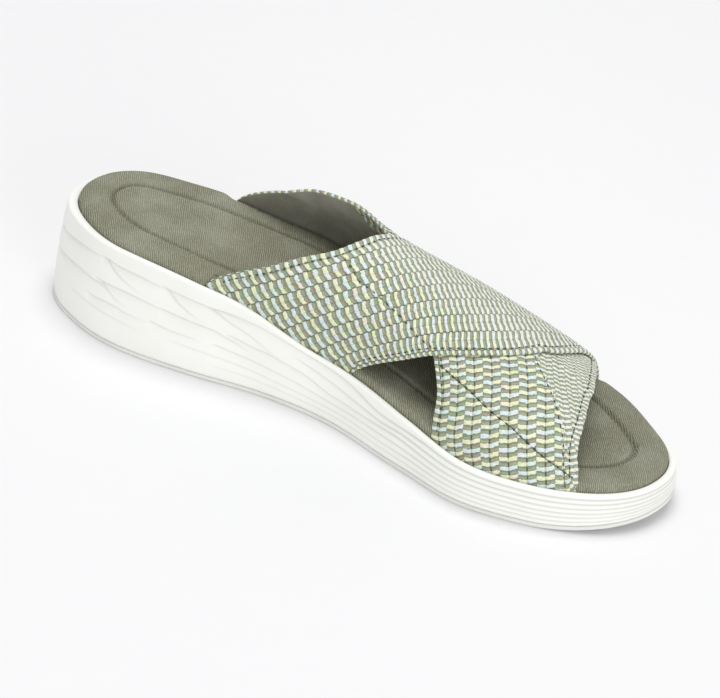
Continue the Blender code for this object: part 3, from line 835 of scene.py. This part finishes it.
def buildMidsole():
    ring = Outline(wedge["sideSteps"])
    foot = ring.ground + wedge["foot"]
    wall = ring.rim - foot
    lip = ring.lip * wedge["lip"]
    flare = ring.flare * wedge["flare"]
    top = wedge["shoulder"] / wall
    bottom = 1 - wedge["footRound"] / wall
    under = (wedge["footUnder"], wedge["footCorner"])
    rings = [ring.ring(flare - wedge["footRound"] * part, foot) for part in under]
    none = np.zeros(ring.size)
    shades = [none, none]
    for share in np.linspace(1, 0, wedge["wallRows"]):
        at = top + (bottom - top) * share
        depth, shade = slashDepth(ring.stations, at, wall)
        shades.append(shade)
        out = lip * (1 - at) + flare * at + wedge["bulge"] * 4 * at * (1 - at) - depth
        rings.append(ring.ring(out, ring.rim * (1 - at) + foot * at))
    shoulderOut = lip * (1 - top) + flare * top + wedge["bulge"] * 4 * top * (1 - top)
    for angle in np.linspace(0, math.pi / 2, wedge["shoulderRows"] + 1)[1:]:
        radius = wedge["shoulder"]
        rings.append(ring.ring(
            shoulderOut - radius * (1 - math.cos(angle)), ring.rim - radius * (1 - math.sin(angle))
        ))
    # over the rim and down to the bed of the footbed
    rings.append(ring.ring((shoulderOut - wedge["shoulder"]) * 0.5 + wedge["rimMiddle"], ring.rim))
    for out, down in (
        (wedge["bedEdge"], wedge["bedEdgeDrop"]),
        (0.0, wedge["bedEdge"]),
        (0.0, wedge["bedDepth"] * wedge["bedWall"]),
        (0.0, wedge["bedDepth"]),
        (-wedge["bedFloor"], wedge["bedDepth"]),
    ):
        rings.append(ring.ring(out, ring.rim - down))
    points = np.concatenate(rings)
    shades += [none] * (len(rings) - len(shades))
    faces = ringFaces(len(rings), ring.size).tolist()
    faces += fillGrid(rings[0], 0, ring.steps, 1, 0, upward=False)[1]
    faces += fillGrid(rings[-1], (len(rings) - 1) * ring.size, ring.steps, 1, 0, upward=True)[1]
    # the mark carries the painted shade of the slashes to the foam's colour
    return makePiece("soleWedge", points, faces, [foamWhite], marks={"paintedCreaseShade": np.concatenate(shades)})


midsole = buildMidsole()
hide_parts("midsole")
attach(midsole, "root")
print("midsole built:", len(midsole.data.polygons), "faces")

# Outsole: thin rubber layer with a waved tread
tread = {
    "sideSteps": 200,
    "across": 44,
    "thickness": 0.0016,
    "round": 0.0004,
    "roundUnder": 1.5,  # inset under the edge, in rounds
    "roundCorner": 0.3,
    "proud": 0.0001,
    "topEdge": 0.0002,
    "topInset": 0.0010,
    "waveLength": 0.0165,
    "waveHeight": 0.0028,
    "barPitch": 0.0072,
    "grooveHalf": 0.20,
    "grooveEdge": 0.06,
    "grooveDepth": 0.0008,
    "edgeLand": 0.005,
}


def buildOutsole():
    ring = Outline(tread["sideSteps"])
    flare = ring.flare * wedge["flare"]
    corner, proud, thickness = tread["round"] * tread["roundCorner"], tread["proud"], tread["thickness"]
    rings = [
        ring.ring(flare - tread["edgeLand"], ring.ground),
        ring.ring(flare - tread["round"] * tread["roundUnder"], ring.ground),
        ring.ring(flare - corner, ring.ground + corner),
        ring.ring(flare + proud, ring.ground + tread["round"]),
        ring.ring(flare + proud, ring.ground + thickness - tread["topEdge"]),
        ring.ring(flare - proud, ring.ground + thickness),
        ring.ring(flare - tread["topInset"], ring.ground + thickness),
    ]
    points = np.concatenate(rings)
    faces = ringFaces(len(rings), ring.size).tolist()
    faces += fillGrid(rings[-1], (len(rings) - 1) * ring.size, ring.steps, 1, 0, upward=True)[1]
    inner, inside = fillGrid(rings[0], 0, ring.steps, tread["across"], len(points), upward=False)
    wave = tread["waveHeight"] * np.sin(inner[:, 1] / tread["waveLength"] * 2 * math.pi)
    bar = np.mod((inner[:, 0] + wave) / tread["barPitch"], 1.0)
    groove = ease((tread["grooveHalf"] - np.abs(bar - 0.5)) / tread["grooveEdge"])
    inner[:, 2] += tread["grooveDepth"] * groove
    return makePiece("outsoleTread", np.concatenate([points, inner]), faces + inside, [rubberWhite])


outsole = buildOutsole()
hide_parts("outsole")
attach(outsole, "root")
print("outsole built:", len(outsole.data.polygons), "faces")

# Footbed: padded, with a rounded edge and a groove pressed in all round
pad = {
    "sideSteps": 260,
    "across": 64,
    "proud": 0.0030,
    "round": 0.0024,
    "roundRings": 10,
    "gap": 0.0003,
    "below": 0.0032,
    "underRound": 0.0004,
    "wallStart": 0.0003,
    "wallRings": 8,
    "topStart": 0.0008,
    "topRings": 7,
    "crown": 0.0004,
    "grooveInset": 0.0126,
    "grooveWidth": 0.00115,
    "grooveDepth": 0.0017,
    "grooveReach": 2,  # widths to each side
    "grooveRings": 17,
    "grooveSharpness": 1.4,
    "grooveRounds": 90,  # how often its corners are evened out
    "pucker": 0.3,
    "puckerPitch": 0.0031,
    "puckerSway": 1.5,
    "puckerWaves": 40,
    "dish": 0.0008,
    "dishAcross": 1.5,
    "dishAlong": 0.5,
    "strapGive": 0.0021,
    "tuckMargin": -0.0015,
    "tuckRun": 0.0015,
    "farTuckRun": 0.0060,
    "fill": 0.7,
}


def strapGive(ring):
    give = np.zeros(ring.size)
    feet = (
        (ring.medial, (topEdges[0][1:3], (lowerEdges[0][1], lowerEdges[0][3])), pad["tuckRun"]),
        (~ring.medial, (topEdges[-1][1:3], lowerEdges[-1][1:3]), pad["farTuckRun"]),
    )
    place = ring.stations * last["length"]
    for side, spans, run in feet:
        for start, end in spans:
            low = start * last["length"] - pad["tuckMargin"]
            high = end * last["length"] + pad["tuckMargin"]
            outside = np.maximum(low - place, place - high)
            give = np.maximum(give, ease(1 - outside / run) * side)
    return give * pad["strapGive"]


def buildFootbed():
    ring = Outline(pad["sideSteps"])
    give = strapGive(ring) + pad["gap"]
    top = ring.rim + pad["proud"]
    rings = [ring.ring(-give - pad["underRound"], ring.rim - pad["below"])]
    for height in np.linspace(pad["wallStart"] - pad["below"], pad["proud"] - pad["round"], pad["wallRings"]):
        rings.append(ring.ring(-give, ring.rim + height))
    for angle in np.linspace(0, math.pi / 2, pad["roundRings"])[1:]:
        rings.append(ring.ring(
            -give - pad["round"] * (1 - math.cos(angle)), top - pad["round"] * (1 - math.sin(angle))
        ))
    start = pad["round"] + pad["topStart"]
    width, reach = pad["grooveWidth"], pad["grooveReach"]
    insets = np.concatenate([
        np.linspace(start, pad["grooveInset"] - reach * width, pad["topRings"])[:-1],
        pad["grooveInset"] + width * np.linspace(-reach, reach, pad["grooveRings"]),
    ])
    steps = np.linalg.norm(np.diff(ring.flat, axis=0, append=ring.flat[:1]), axis=1)
    sway = pad["puckerSway"] * np.sin(ring.stations * pad["puckerWaves"])
    puckers = np.sin(np.cumsum(steps) / pad["puckerPitch"] * 2 * math.pi + sway)
    for inset in insets:
        fade = np.clip(1 - inset / pad["grooveInset"], 0, 1)
        fromGroove = (inset - pad["grooveInset"]) / width
        groove = pad["grooveDepth"] * math.exp(-(fromGroove**2) * pad["grooveSharpness"])
        groove = groove * (1 + pad["pucker"] * puckers)
        crown = pad["crown"] * math.sin(math.pi * min(inset / pad["grooveInset"], 1))
        rounds = int(pad["grooveRounds"] * min(inset / pad["grooveInset"], 1) ** 2)
        rings.append(ring.ring(-inset - give * fade, top + crown - groove, rounds))
    points = np.concatenate(rings)
    faces = ringFaces(len(rings), ring.size).tolist()
    faces += fillGrid(rings[0], 0, ring.steps, 1, 0, upward=False)[1]
    border = rings[-1]
    inner, inside = fillGrid(
        border, (len(rings) - 1) * ring.size, ring.steps, pad["across"], len(points), upward=True
    )
    rows = len(inner) // (pad["across"] - 1)
    share = np.tile(np.arange(1, pad["across"]) / pad["across"], rows)
    station = np.repeat(ring.stations[1 : ring.steps], pad["across"] - 1)
    hollow = np.sin(math.pi * share) ** pad["dishAcross"] * np.sin(math.pi * station) ** pad["dishAlong"]
    inner[:, 2] -= pad["dish"] * hollow
    return makePiece("footbedPad", np.concatenate([points, inner]), faces + inside, [footbedTwill])


footbed = buildFootbed()
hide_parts("footbed")
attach(footbed, "root")
print("footbed built:", len(footbed.data.polygons), "faces")

# Straps: each is a woven tube, flat in section, with the weave raised on its outside
strap = {
    "width": 0.0535,
    "thickness": 0.0013,
    "step": 0.00040,
    "innerColumns": 45,
    "flatRows": 70,
    "flatColumns": 15,
    "edgePoints": 6,
    "tuckDepth": 0.0027,
    "tuckRows": 6,
    "sink": 0.00008,
    "lap": 0.0015,
    "lapRun": 0.15,
    "panelStep": 0.00035,
    "panelLap": 0.006,
    "panelThickness": 0.0010,
    "panelRib": 0.0047,
    "panelTurn": 0.50,
    "panelMiddle": 0.86,
    "panelEndTurn": 0.86,
    "lift": 0.0045,
    "liftStart": 0.290,
    "liftEnd": 0.512,
    "liftWidth": 0.45,
    "liftFall": 1.5,
    "bareStart": 0.45,
    "bareEnd": 0.708,
    "bareLean": 0.08,
    "turnSamples": 900,
    "pathSamples": 120,
    "edgeSamples": 200,
    "edgeFall": 1.5,
    "seamStep": 0.0004,
    "seamGroove": 0.00022,
    "seamWidth": 0.00045,
    "holeDepth": 0.00035,
    "holeWidth": 0.00055,
}

looks = {
    "top": {"slants": (-0.13, 0.20), "darkLine": 0.0, "lineStrength": 0.85},
    "lower": {"slants": (-0.10, 0.24), "darkLine": 0.5, "lineStrength": 0.8},
    "toe": {"slants": (-0.20, 0.25), "darkLine": 0.5, "lineStrength": 0.3},
}

pitches = {  # distance along the strap, row pitch there
    "topStrap": ((-0.06, 0.0036), (0.050, 0.0036), (0.071, 0.0023), (0.22, 0.0023)),
    "lowerStrap": ((-0.06, 0.0033), (0.24, 0.0033)),
    "toePanel": ((-0.06, 0.0026), (0.050, 0.0025), (0.075, 0.00215), (0.24, 0.00215)),
}


def weaveHeight(rows, ribs, look):
    pair = np.floor(ribs)
    across = ribs - pair
    second = across > 0.5
    local = 2 * across - second
    odd = np.abs(np.mod(pair, 2))
    first, more = look["slants"]
    slant = first * np.maximum(second, local) + more * second * local
    waver = weave["waver"] * np.sin(rows * weave["waverByRow"] + pair * weave["waverByRib"])
    phase = np.mod(rows + odd * 0.5 + waver - slant, 1.0)
    share = weave["lightShare"]
    light = phase < share
    within = np.where(light, phase / share, (phase - share) / (1 - share))
    hump = np.sin(math.pi * within) ** weave["humpPower"] * np.where(light, 1.0, weave["oliveHump"])
    column = np.sin(math.pi * np.clip(local, 0, 1)) ** weave["columnPower"]
    fromLine = np.abs(np.mod(across - look["darkLine"] + 0.5, 1.0) - 0.5)
    dive = np.exp(-((fromLine / weave["diveWidth"]) ** 2)) * np.where(light, weave["lightDive"], 1.0)
    raised = column * (weave["columnShare"] + (1 - weave["columnShare"]) * hump)
    return weave["relief"] * (raised - weave["diveDepth"] * dive * look["lineStrength"])


def underLap(turn):
    return strap["lap"] * ease(turn / strap["lapRun"]) * ease((1 - turn) / strap["lapRun"])


def lateralLift(turns, start, share):
    middle = np.clip((start - strap["liftStart"]) / (strap["liftEnd"] - strap["liftStart"]), 0, 1)
    raised = np.sin(math.pi * middle) * (turns > 0.5)
    fade = np.clip(1 - share / strap["liftWidth"], 0, 1) ** strap["liftFall"]
    return strap["lift"] * raised * fade


def pathOnLast(rows, depthAt):
    # a line given by place along the foot and turn, as points on the straps
    rows = np.array(rows, float)
    spans = np.concatenate([[0], np.cumsum(np.linalg.norm(np.diff(rows * (1, 100), axis=0), axis=1))])
    at = np.linspace(0, spans[-1], strap["pathSamples"])
    station = np.interp(at, spans, rows[:, 0]) / 1000 / last["length"]
    turn = np.interp(at, spans, rows[:, 1])
    return onSurface(station, turn, depthAt(turn))


def onSurface(station, turn, depth):
    return lastSurface(station, turn) - lastNormal(station, turn) * np.asarray(depth)[..., None]


def fineness(name, along):
    pitch = np.interp(along, *np.array(pitches[name]).T)
    return np.clip((weave["coarsePitch"] - pitch) / (weave["coarsePitch"] - weave["finePitch"]), 0, 1)


def rowNumber(name, along):
    # rows counted along a strap whose pitch changes on the way
    table = np.array(pitches[name])
    places = np.linspace(table[0, 0], table[-1, 0], 600)
    perMetre = 1 / np.interp(places, table[:, 0], table[:, 1])
    counted = np.concatenate([[0], np.cumsum((perMetre[1:] + perMetre[:-1]) / 2 * np.diff(places))])
    return np.interp(along, places, counted)


def evenly(points, gap):
    spans = np.concatenate([[0], np.cumsum(np.linalg.norm(np.diff(points, axis=0), axis=1))])
    count = max(2, int(round(spans[-1] / gap)) + 1)
    at = np.linspace(0, spans[-1], count)
    return np.column_stack([np.interp(at, spans, points[:, k]) for k in range(3)])


def nearest(points, targets):
    tree = KDTree(len(targets))
    for i, target in enumerate(targets):
        tree.insert(target, i)
    tree.balance()
    return np.array([tree.find(point)[2] for point in points])


def flatten(points, width, pinToe, rounds=60, hold=30.0):
    # lays a strap out flat with its lengths kept, its heel edge held on a straight line
    rows, columns = points.shape[:2]
    alongWay = unit(np.gradient(points, axis=0))
    normal = unit(np.cross(alongWay, np.gradient(points, axis=1)))
    sideWay = np.cross(normal, alongWay).reshape(-1, 3)
    alongWay = alongWay.reshape(-1, 3)
    index = np.arange(rows * columns).reshape(rows, columns)
    pairs = (
        (index[:-1], index[1:]), (index[:, :-1], index[:, 1:]),
        (index[:-1, :-1], index[1:, 1:]), (index[:-1, 1:], index[1:, :-1]),
    )
    starts, ends = (np.concatenate([pair[k].ravel() for pair in pairs]) for k in (0, 1))
    solid = points.reshape(-1, 3)
    edge = solid[ends] - solid[starts]
    length = np.linalg.norm(edge, axis=1)

    def seenFrom(corner):
        flat = np.sum(edge * alongWay[corner], axis=1) + 1j * np.sum(edge * sideWay[corner], axis=1)
        return flat * length / np.maximum(np.abs(flat), 1e-9)

    fromStart, fromEnd = seenFrom(starts), seenFrom(ends)
    count = rows * columns
    links = np.zeros((count, count))
    np.add.at(links, (starts, starts), 1.0)
    np.add.at(links, (ends, ends), 1.0)
    np.add.at(links, (starts, ends), -1.0)
    np.add.at(links, (ends, starts), -1.0)
    alongLinks, acrossLinks = links.copy(), links.copy()
    alongLinks[0, 0] += 1.0
    held = np.zeros(count)
    held[index[:, 0]] = hold
    wanted = np.zeros(count)
    if pinToe:
        held[index[:, -1]] = hold
        wanted[index[:, -1]] = hold * width
    acrossLinks[np.arange(count), np.arange(count)] += held
    alongSolve, acrossSolve = np.linalg.inv(alongLinks), np.linalg.inv(acrossLinks)
    spine = np.concatenate([[0], np.cumsum(np.linalg.norm(np.diff(points[:, columns // 2], axis=0), axis=1))])
    flat = np.add.outer(spine, 1j * np.linspace(0, width, columns)).ravel()
    for _ in range(rounds):
        now = flat[ends] - flat[starts]
        turn = np.zeros(count, complex)
        np.add.at(turn, starts, np.conj(fromStart) * now)
        np.add.at(turn, ends, np.conj(fromEnd) * now)
        turn /= np.maximum(np.abs(turn), 1e-12)
        aim = (turn[starts] * fromStart + turn[ends] * fromEnd) / 2
        pull = np.zeros(count, complex)
        np.add.at(pull, ends, aim)
        np.add.at(pull, starts, -aim)
        flat = alongSolve @ pull.real + 1j * (acrossSolve @ (pull.imag + wanted))
    return flat.reshape(rows, columns)


def spreadOut(coarse, rows, shares):
    # coarse grid read at every row, and at each row's own shares across
    columns = coarse.shape[1]
    at = np.linspace(0, 1, coarse.shape[0])
    tall = np.column_stack([np.interp(np.linspace(0, 1, rows), at, coarse[:, k]) for k in range(columns)])
    index = np.clip(shares * (columns - 1), 0, columns - 1.001)
    low = index.astype(int)
    part = index - low
    rowIndex = np.arange(rows)[:, None]
    return tall[rowIndex, low] * (1 - part) + tall[rowIndex, low + 1] * part


def buildStrap(name, edges, columns, depthAt, look, material, lastTurn=1.0, paths=(), lifted=False,
               thickness=None, alongLast=False, pinToe=False):
    thickness = thickness or strap["thickness"]
    startColumn, endColumn = columns
    fineTurns = np.linspace(0, lastTurn, strap["turnSamples"])
    middle = (smoothCurve(edges, startColumn, fineTurns) + smoothCurve(edges, endColumn, fineTurns)) / 2
    spine = lastSurface(middle, fineTurns)
    lengths = np.concatenate([[0], np.cumsum(np.linalg.norm(np.diff(spine, axis=0), axis=1))])
    rowCount = int(lengths[-1] / strap["step"])
    turns = np.interp(np.linspace(0, lengths[-1], rowCount), lengths, fineTurns)
    along = np.linspace(0, lengths[-1], rowCount)
    start = smoothCurve(edges, startColumn, turns)
    end = smoothCurve(edges, endColumn, turns)

    # the cloth laid flat, to place its ribs and rows
    coarseRows = np.linspace(0, 1, strap["flatRows"])
    coarseTurns = np.interp(coarseRows * lengths[-1], lengths, fineTurns)[:, None]
    coarseStart = smoothCurve(edges, startColumn, coarseTurns)
    coarseEnd = smoothCurve(edges, endColumn, coarseTurns)
    coarseStation = coarseStart + (coarseEnd - coarseStart) * np.linspace(0, 1, strap["flatColumns"])
    coarse = lastSurface(coarseStation, np.broadcast_to(coarseTurns, coarseStation.shape))
    laid = flatten(coarse, strap["width"], pinToe)
    square = np.abs(laid[:, -1].imag - laid[:, 0].imag)
    wide = np.interp(np.linspace(0, 1, rowCount), coarseRows, square)

    outerCount = int(strap["width"] / strap["step"])
    radius = thickness / 2
    firstShare = radius / wide
    outer = np.linspace(0, 1, outerCount)
    outerShares = firstShare[:, None] + (1 - 2 * firstShare)[:, None] * outer

    def lay(shareGrid, depth):
        stationGrid = start[:, None] + (end - start)[:, None] * shareGrid
        grid = np.broadcast_to(turns[:, None], stationGrid.shape)
        depth = depth + depthAt(grid)
        if lifted:
            depth = depth - lateralLift(grid, start[:, None], shareGrid)
        return onSurface(stationGrid, grid, depth)

    top = lay(outerShares, 0.0)
    inner = np.linspace(1, 0, strap["innerColumns"])
    bottom = lay(firstShare[:, None] + (1 - 2 * firstShare)[:, None] * inner, thickness)
    # rounded edges, between the outside and the inside
    angles = np.linspace(0, math.pi, strap["edgePoints"] + 2)[1:-1]
    sides = []
    for border, opposite, way in ((top[:, -1], top[:, -2], 1), (top[:, 0], top[:, 1], -1)):
        under = bottom[:, 0] if way == 1 else bottom[:, -1]
        centre = (border + under) / 2
        raised = border - centre
        outward = unit(border - opposite)
        arc = [centre + raised * math.cos(a) + outward * radius * math.sin(a) for a in angles]
        sides.append(np.stack(arc, axis=1))
    grid = np.concatenate([top, sides[0], bottom, sides[1][:, ::-1]], axis=1)

    arcRibs = radius * angles / weave["ribWidth"]
    alongOuter = rowNumber(name, spreadOut(laid.real, rowCount, outerShares))
    acrossOuter = spreadOut(laid.imag, rowCount, outerShares) / weave["ribWidth"]
    if alongLast:  # ribs that run slantwise over the toe
        stationGrid = start[:, None] + (end - start)[:, None] * outerShares
        forward = (stationGrid - strap["panelMiddle"]) * last["length"]
        sideways = np.broadcast_to(along[:, None], outerShares.shape)
        cosine, sine = math.cos(strap["panelTurn"]), math.sin(strap["panelTurn"])
        acrossOuter = (forward * cosine + sideways * sine) / strap["panelRib"]
        alongOuter = rowNumber(name, sideways * cosine - forward * sine)
    endSide = (acrossOuter[:, -1:] + arcRibs[None, :], np.repeat(alongOuter[:, -1:], len(angles), 1))
    startSide = (acrossOuter[:, :1] - arcRibs[None, ::-1], np.repeat(alongOuter[:, :1], len(angles), 1))
    fromOuter = np.round(inner * (outerCount - 1)).astype(int)
    acrossAll = np.concatenate([acrossOuter, endSide[0], acrossOuter[:, fromOuter], startSide[0]], axis=1)
    alongAll = np.concatenate([alongOuter, endSide[1], alongOuter[:, fromOuter], startSide[1]], axis=1)

    # raise the weave, and press in the seams
    raisedMask = np.zeros(grid.shape[1])
    raisedMask[:outerCount] = 1
    fall = np.cos(angles / 2) ** strap["edgeFall"]
    raisedMask[outerCount : outerCount + len(angles)] = fall
    raisedMask[-len(angles) :] = fall[::-1]
    height = (weaveHeight(alongAll, acrossAll, look) - strap["sink"]) * raisedMask
    for path, gap in paths:
        flat = grid[:, :outerCount].reshape(-1, 3)
        toLine = nearest(flat, evenly(path, strap["seamStep"])).reshape(rowCount, outerCount)
        toDot = nearest(flat, evenly(path, gap)).reshape(rowCount, outerCount)
        groove = strap["seamGroove"] * np.exp(-((toLine / strap["seamWidth"]) ** 2))
        hole = strap["holeDepth"] * np.exp(-((toDot / strap["holeWidth"]) ** 2))
        height[:, :outerCount] -= groove + hole
    rowWay = np.gradient(grid, axis=0)
    ringWay = np.roll(grid, -1, axis=1) - np.roll(grid, 1, axis=1)
    outwardAll = unit(np.cross(ringWay, rowWay))
    grid = grid + outwardAll * height[..., None]

    # both ends go down between the footbed and the rim
    tuck = np.linspace(0, strap["tuckDepth"], strap["tuckRows"] + 1)[1:]
    parts, alongParts, acrossParts = [grid], [alongAll], [acrossAll]
    ends = ((0, -1, True), (rowCount - 1, 1, lastTurn == 1.0))
    for row, way, tucked in ends:
        if not tucked:
            continue
        drop = grid[row][None] - np.array([0, 0, 1.0]) * tuck[:, None, None]
        more = alongAll[row][None] + way * tuck[:, None] / pitches[name][0][1]
        same = np.repeat(acrossAll[row][None], len(tuck), axis=0)
        if way < 0:
            parts.insert(0, drop[::-1])
            alongParts.insert(0, more[::-1])
            acrossParts.insert(0, same)
        else:
            parts.append(drop)
            alongParts.append(more)
            acrossParts.append(same)
    grid = np.concatenate(parts)
    fabric = np.stack([np.concatenate(alongParts), np.concatenate(acrossParts)], axis=-1)
    rows, size = grid.shape[:2]
    quads = ringFaces(rows, size)[:, ::-1]
    columnOf = np.tile(np.arange(size), rows - 1)
    innerStart = outerCount + len(angles)
    isInner = (columnOf >= innerStart - 1) & (columnOf < innerStart + strap["innerColumns"])
    faces = quads.tolist()
    faces.append(list(range(size)))
    faces.append([(rows - 1) * size + k for k in range(size)][::-1])
    if lifted:  # the lining of the far half ends along a line before the straps cross
        turnOf = np.interp(np.arange(rows) - len(tuck), np.arange(rowCount), turns)[:, None]
        shareOf = np.zeros(size)
        shareOf[innerStart : innerStart + strap["innerColumns"]] = inner
        bare = (turnOf > strap["bareStart"]) & (turnOf < strap["bareEnd"] + strap["bareLean"] * shareOf)
        isInner &= ~bare[:-1].ravel()
    slots = np.concatenate([isInner.astype(int), [1, 1]])
    alongOf = np.interp(np.arange(rows) - len(tuck), np.arange(rowCount), along)
    marks = {"fine": np.repeat(fineness(name, alongOf), size)}
    points = grid.reshape(-1, 3)
    piece = makePiece(name, points, faces, [material, liningSuede], slots, fabric.reshape(-1, 2), marks)
    print(name, "built:", len(faces), "faces, width", round(float(wide.mean()) * 1000, 1), "mm, length",
          round(float(lengths[-1]) * 1000, 1), "mm")
    return piece


def edgePath(edges, column, away, depthAt, turnRange=(0.02, 0.98), lifted=False):
    # line beside an edge of a strap, this far inside it along the foot
    turns = np.linspace(*turnRange, strap["edgeSamples"])
    station = smoothCurve(edges, column, turns) + away / last["length"]
    depth = depthAt(turns)
    if lifted:
        start = smoothCurve(edges, 1, turns)
        share = (station - start) / (smoothCurve(edges, 2, turns) - start)
        depth = depth - lateralLift(turns, start, share)
    return onSurface(station, turns, depth)


def noLap(turn):
    return np.zeros(np.shape(turn))


def panelLap(turn):
    return underLap(turn) + strap["panelStep"]


# Seams: millimetres from the heel, turn
seamTop = (
    (120.8, 0.336), (129.2, 0.288), (137, 0.286), (145.8, 0.277), (153.8, 0.267), (159.5, 0.253),
    (165.2, 0.256),
)
seamLower = ((171, 0.225), (186, 0.225), (205, 0.18), (224, 0.085), (229, 0.055))
stitchGaps = {"seam": 0.0034, "hem": 0.0028}

topPaths = [
    (pathOnLast(seamTop, noLap), stitchGaps["seam"]),
    (edgePath(topEdges, 1, 0.0032, noLap), stitchGaps["hem"]),
    (edgePath(topEdges, 2, -0.0034, noLap), stitchGaps["hem"]),
]
lowerPaths = [
    (pathOnLast(seamLower, underLap), stitchGaps["seam"]),
    (edgePath(lowerEdges, 1, 0.0028, underLap, lifted=True), stitchGaps["hem"]),
    (edgePath(lowerEdges, 2, -0.0016, underLap, (0.02, 0.60)), stitchGaps["seam"]),
]
panelPaths = [(edgePath(lowerEdges, 3, -0.0028, panelLap, (0.02, 0.84)), stitchGaps["hem"])]

panelEdges = tuple((row[0], row[2] - strap["panelLap"] / last["length"], row[3]) for row in lowerEdges)
topWeave = elasticMaterial("topWeave", **looks["top"])
lowerWeave = elasticMaterial("lowerWeave", **looks["lower"])
toeWeave = elasticMaterial("toeWeave", **looks["toe"])

topStrap = buildStrap(
    "topStrap", topEdges, (1, 2), noLap, looks["top"], topWeave, paths=topPaths, pinToe=True
)
lowerStrap = buildStrap(
    "lowerStrap", lowerEdges, (1, 2), underLap, looks["lower"], lowerWeave, paths=lowerPaths, lifted=True
)
toePanel = buildStrap(
    "toePanel", panelEdges, (1, 2), panelLap, looks["toe"], toeWeave, lastTurn=strap["panelEndTurn"],
    paths=panelPaths, thickness=strap["panelThickness"], alongLast=True
)
for piece in (topStrap, lowerStrap, toePanel):
    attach(piece, "root")
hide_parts("upper")

# Thread: thin between the holes, thicker where each stitch goes down
thread = {
    "radius": 0.00010,
    "knot": 0.00021,
    "knotLength": 0.00045,
    "rings": 0.00035,
    "sides": 6,
}


def buildThread(name, lines):
    points, faces = [], []
    for path, gap, shown in lines:
        line = evenly(path, thread["rings"])
        dots = evenly(path, gap)
        toDot = nearest(line, dots)
        radius = thread["radius"] * shown + thread["knot"] * np.exp(-((toDot / thread["knotLength"]) ** 2))
        way = unit(np.gradient(line, axis=0))
        side = unit(np.cross(way, [0.0, 0.3, 1.0]))
        up = np.cross(side, way)
        first = sum(len(p) for p in points)
        turn = np.arange(thread["sides"]) / thread["sides"] * 2 * math.pi
        ring = side[:, None] * np.cos(turn)[None, :, None] + up[:, None] * np.sin(turn)[None, :, None]
        tube = line[:, None] + ring * radius[:, None, None]
        points.append(tube.reshape(-1, 3))
        faces += ringFaces(len(line), thread["sides"], first).tolist()
        endRing = first + (len(line) - 1) * thread["sides"]
        faces.append([first + k for k in range(thread["sides"])][::-1])
        faces.append([endRing + k for k in range(thread["sides"])])
    piece = makePiece(name, np.concatenate(points), faces, [threadDark])
    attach(piece, "root")
    return piece


buildThread("topThread", [(path, gap, 0.3) for path, gap in topPaths])
buildThread("lowerThread", [(path, gap, 1.0 if i == 0 else 0.4) for i, (path, gap) in enumerate(lowerPaths)])
buildThread("toeThread", [(path, gap, 0.4) for path, gap in panelPaths])
print("threads built")

# Stage: pale floor, soft light and the photograph's viewing angle
studio = {
    "floorSize": 6.0,
    "azimuth": 27.035,
    "elevation": 30.441,
    "roll": 6.886,
    "distance": 1.1830,
    "focalPixels": 3207.1,
    "centre": (362.65, 344.52),
    "frame": (720, 698),
    "target": (0.125, 0.0, 0.020),
    "worldStrength": 0.645,
}

lights = {  # place, aim, size, power
    "keyLight": ((-0.05, 0.1, 1.6), (0, 0, 0), 0.9, 10.5),
    "fillLight": ((1.3, -1.1, 0.40), (0, 0, 0.02), 1.0, 9.0),
}

half = studio["floorSize"] / 2
floorMesh = bpy.data.meshes.new("floor")
floorCorners = [(-half, -half, 0), (half, -half, 0), (half, half, 0), (-half, half, 0)]
floorMesh.from_pydata(floorCorners, [], [(0, 1, 2, 3)])
floorMesh.materials.append(grainMaterial("floorWhite"))
floor = bpy.data.objects.new("floor", floorMesh)
bpy.context.scene.collection.objects.link(floor)


def addCamera():
    azimuth, elevation, roll = (math.radians(studio[k]) for k in ("azimuth", "elevation", "roll"))
    back = np.array([
        math.sin(azimuth) * math.cos(elevation), -math.cos(azimuth) * math.cos(elevation), math.sin(elevation)
    ])
    right = np.array([math.cos(azimuth), math.sin(azimuth), 0.0])
    up = np.cross(back, right)
    turnedRight = math.cos(roll) * right + math.sin(roll) * up
    turnedUp = -math.sin(roll) * right + math.cos(roll) * up
    place = np.array(studio["target"]) - last["origin"] + back * studio["distance"]
    data = bpy.data.cameras.new("camera")
    width, height = studio["frame"]
    data.sensor_width = 36.0
    data.lens = studio["focalPixels"] * data.sensor_width / width
    data.shift_x = (width / 2 - studio["centre"][0]) / width
    data.shift_y = (studio["centre"][1] - height / 2) / width
    data.clip_start, data.clip_end = 0.05, 30.0
    camera = bpy.data.objects.new("camera", data)
    camera.matrix_world = Matrix(np.column_stack([
        [*turnedRight, 0], [*turnedUp, 0], [*back, 0], [*place, 1]
    ]).tolist())
    bpy.context.scene.collection.objects.link(camera)
    bpy.context.scene.camera = camera


addCamera()


def addLight(name, place, aim, size, power):
    data = bpy.data.lights.new(name, "AREA")
    data.shape = "DISK"
    data.size = size
    data.energy = power
    light = bpy.data.objects.new(name, data)
    light.location = place
    light.rotation_mode = "QUATERNION"
    light.rotation_quaternion = (Vector(aim) - Vector(place)).to_track_quat("-Z", "Y")
    bpy.context.scene.collection.objects.link(light)


for name, settings in lights.items():
    addLight(name, *settings)

world = bpy.data.worlds.new("studio")
world.use_nodes = True
background = world.node_tree.nodes["Background"].inputs
background["Color"].default_value = (1.0, 1.0, 1.0, 1.0)
background["Strength"].default_value = studio["worldStrength"]
bpy.context.scene.world = world
bpy.context.scene.view_settings.view_transform = "Standard"
print("stage built")
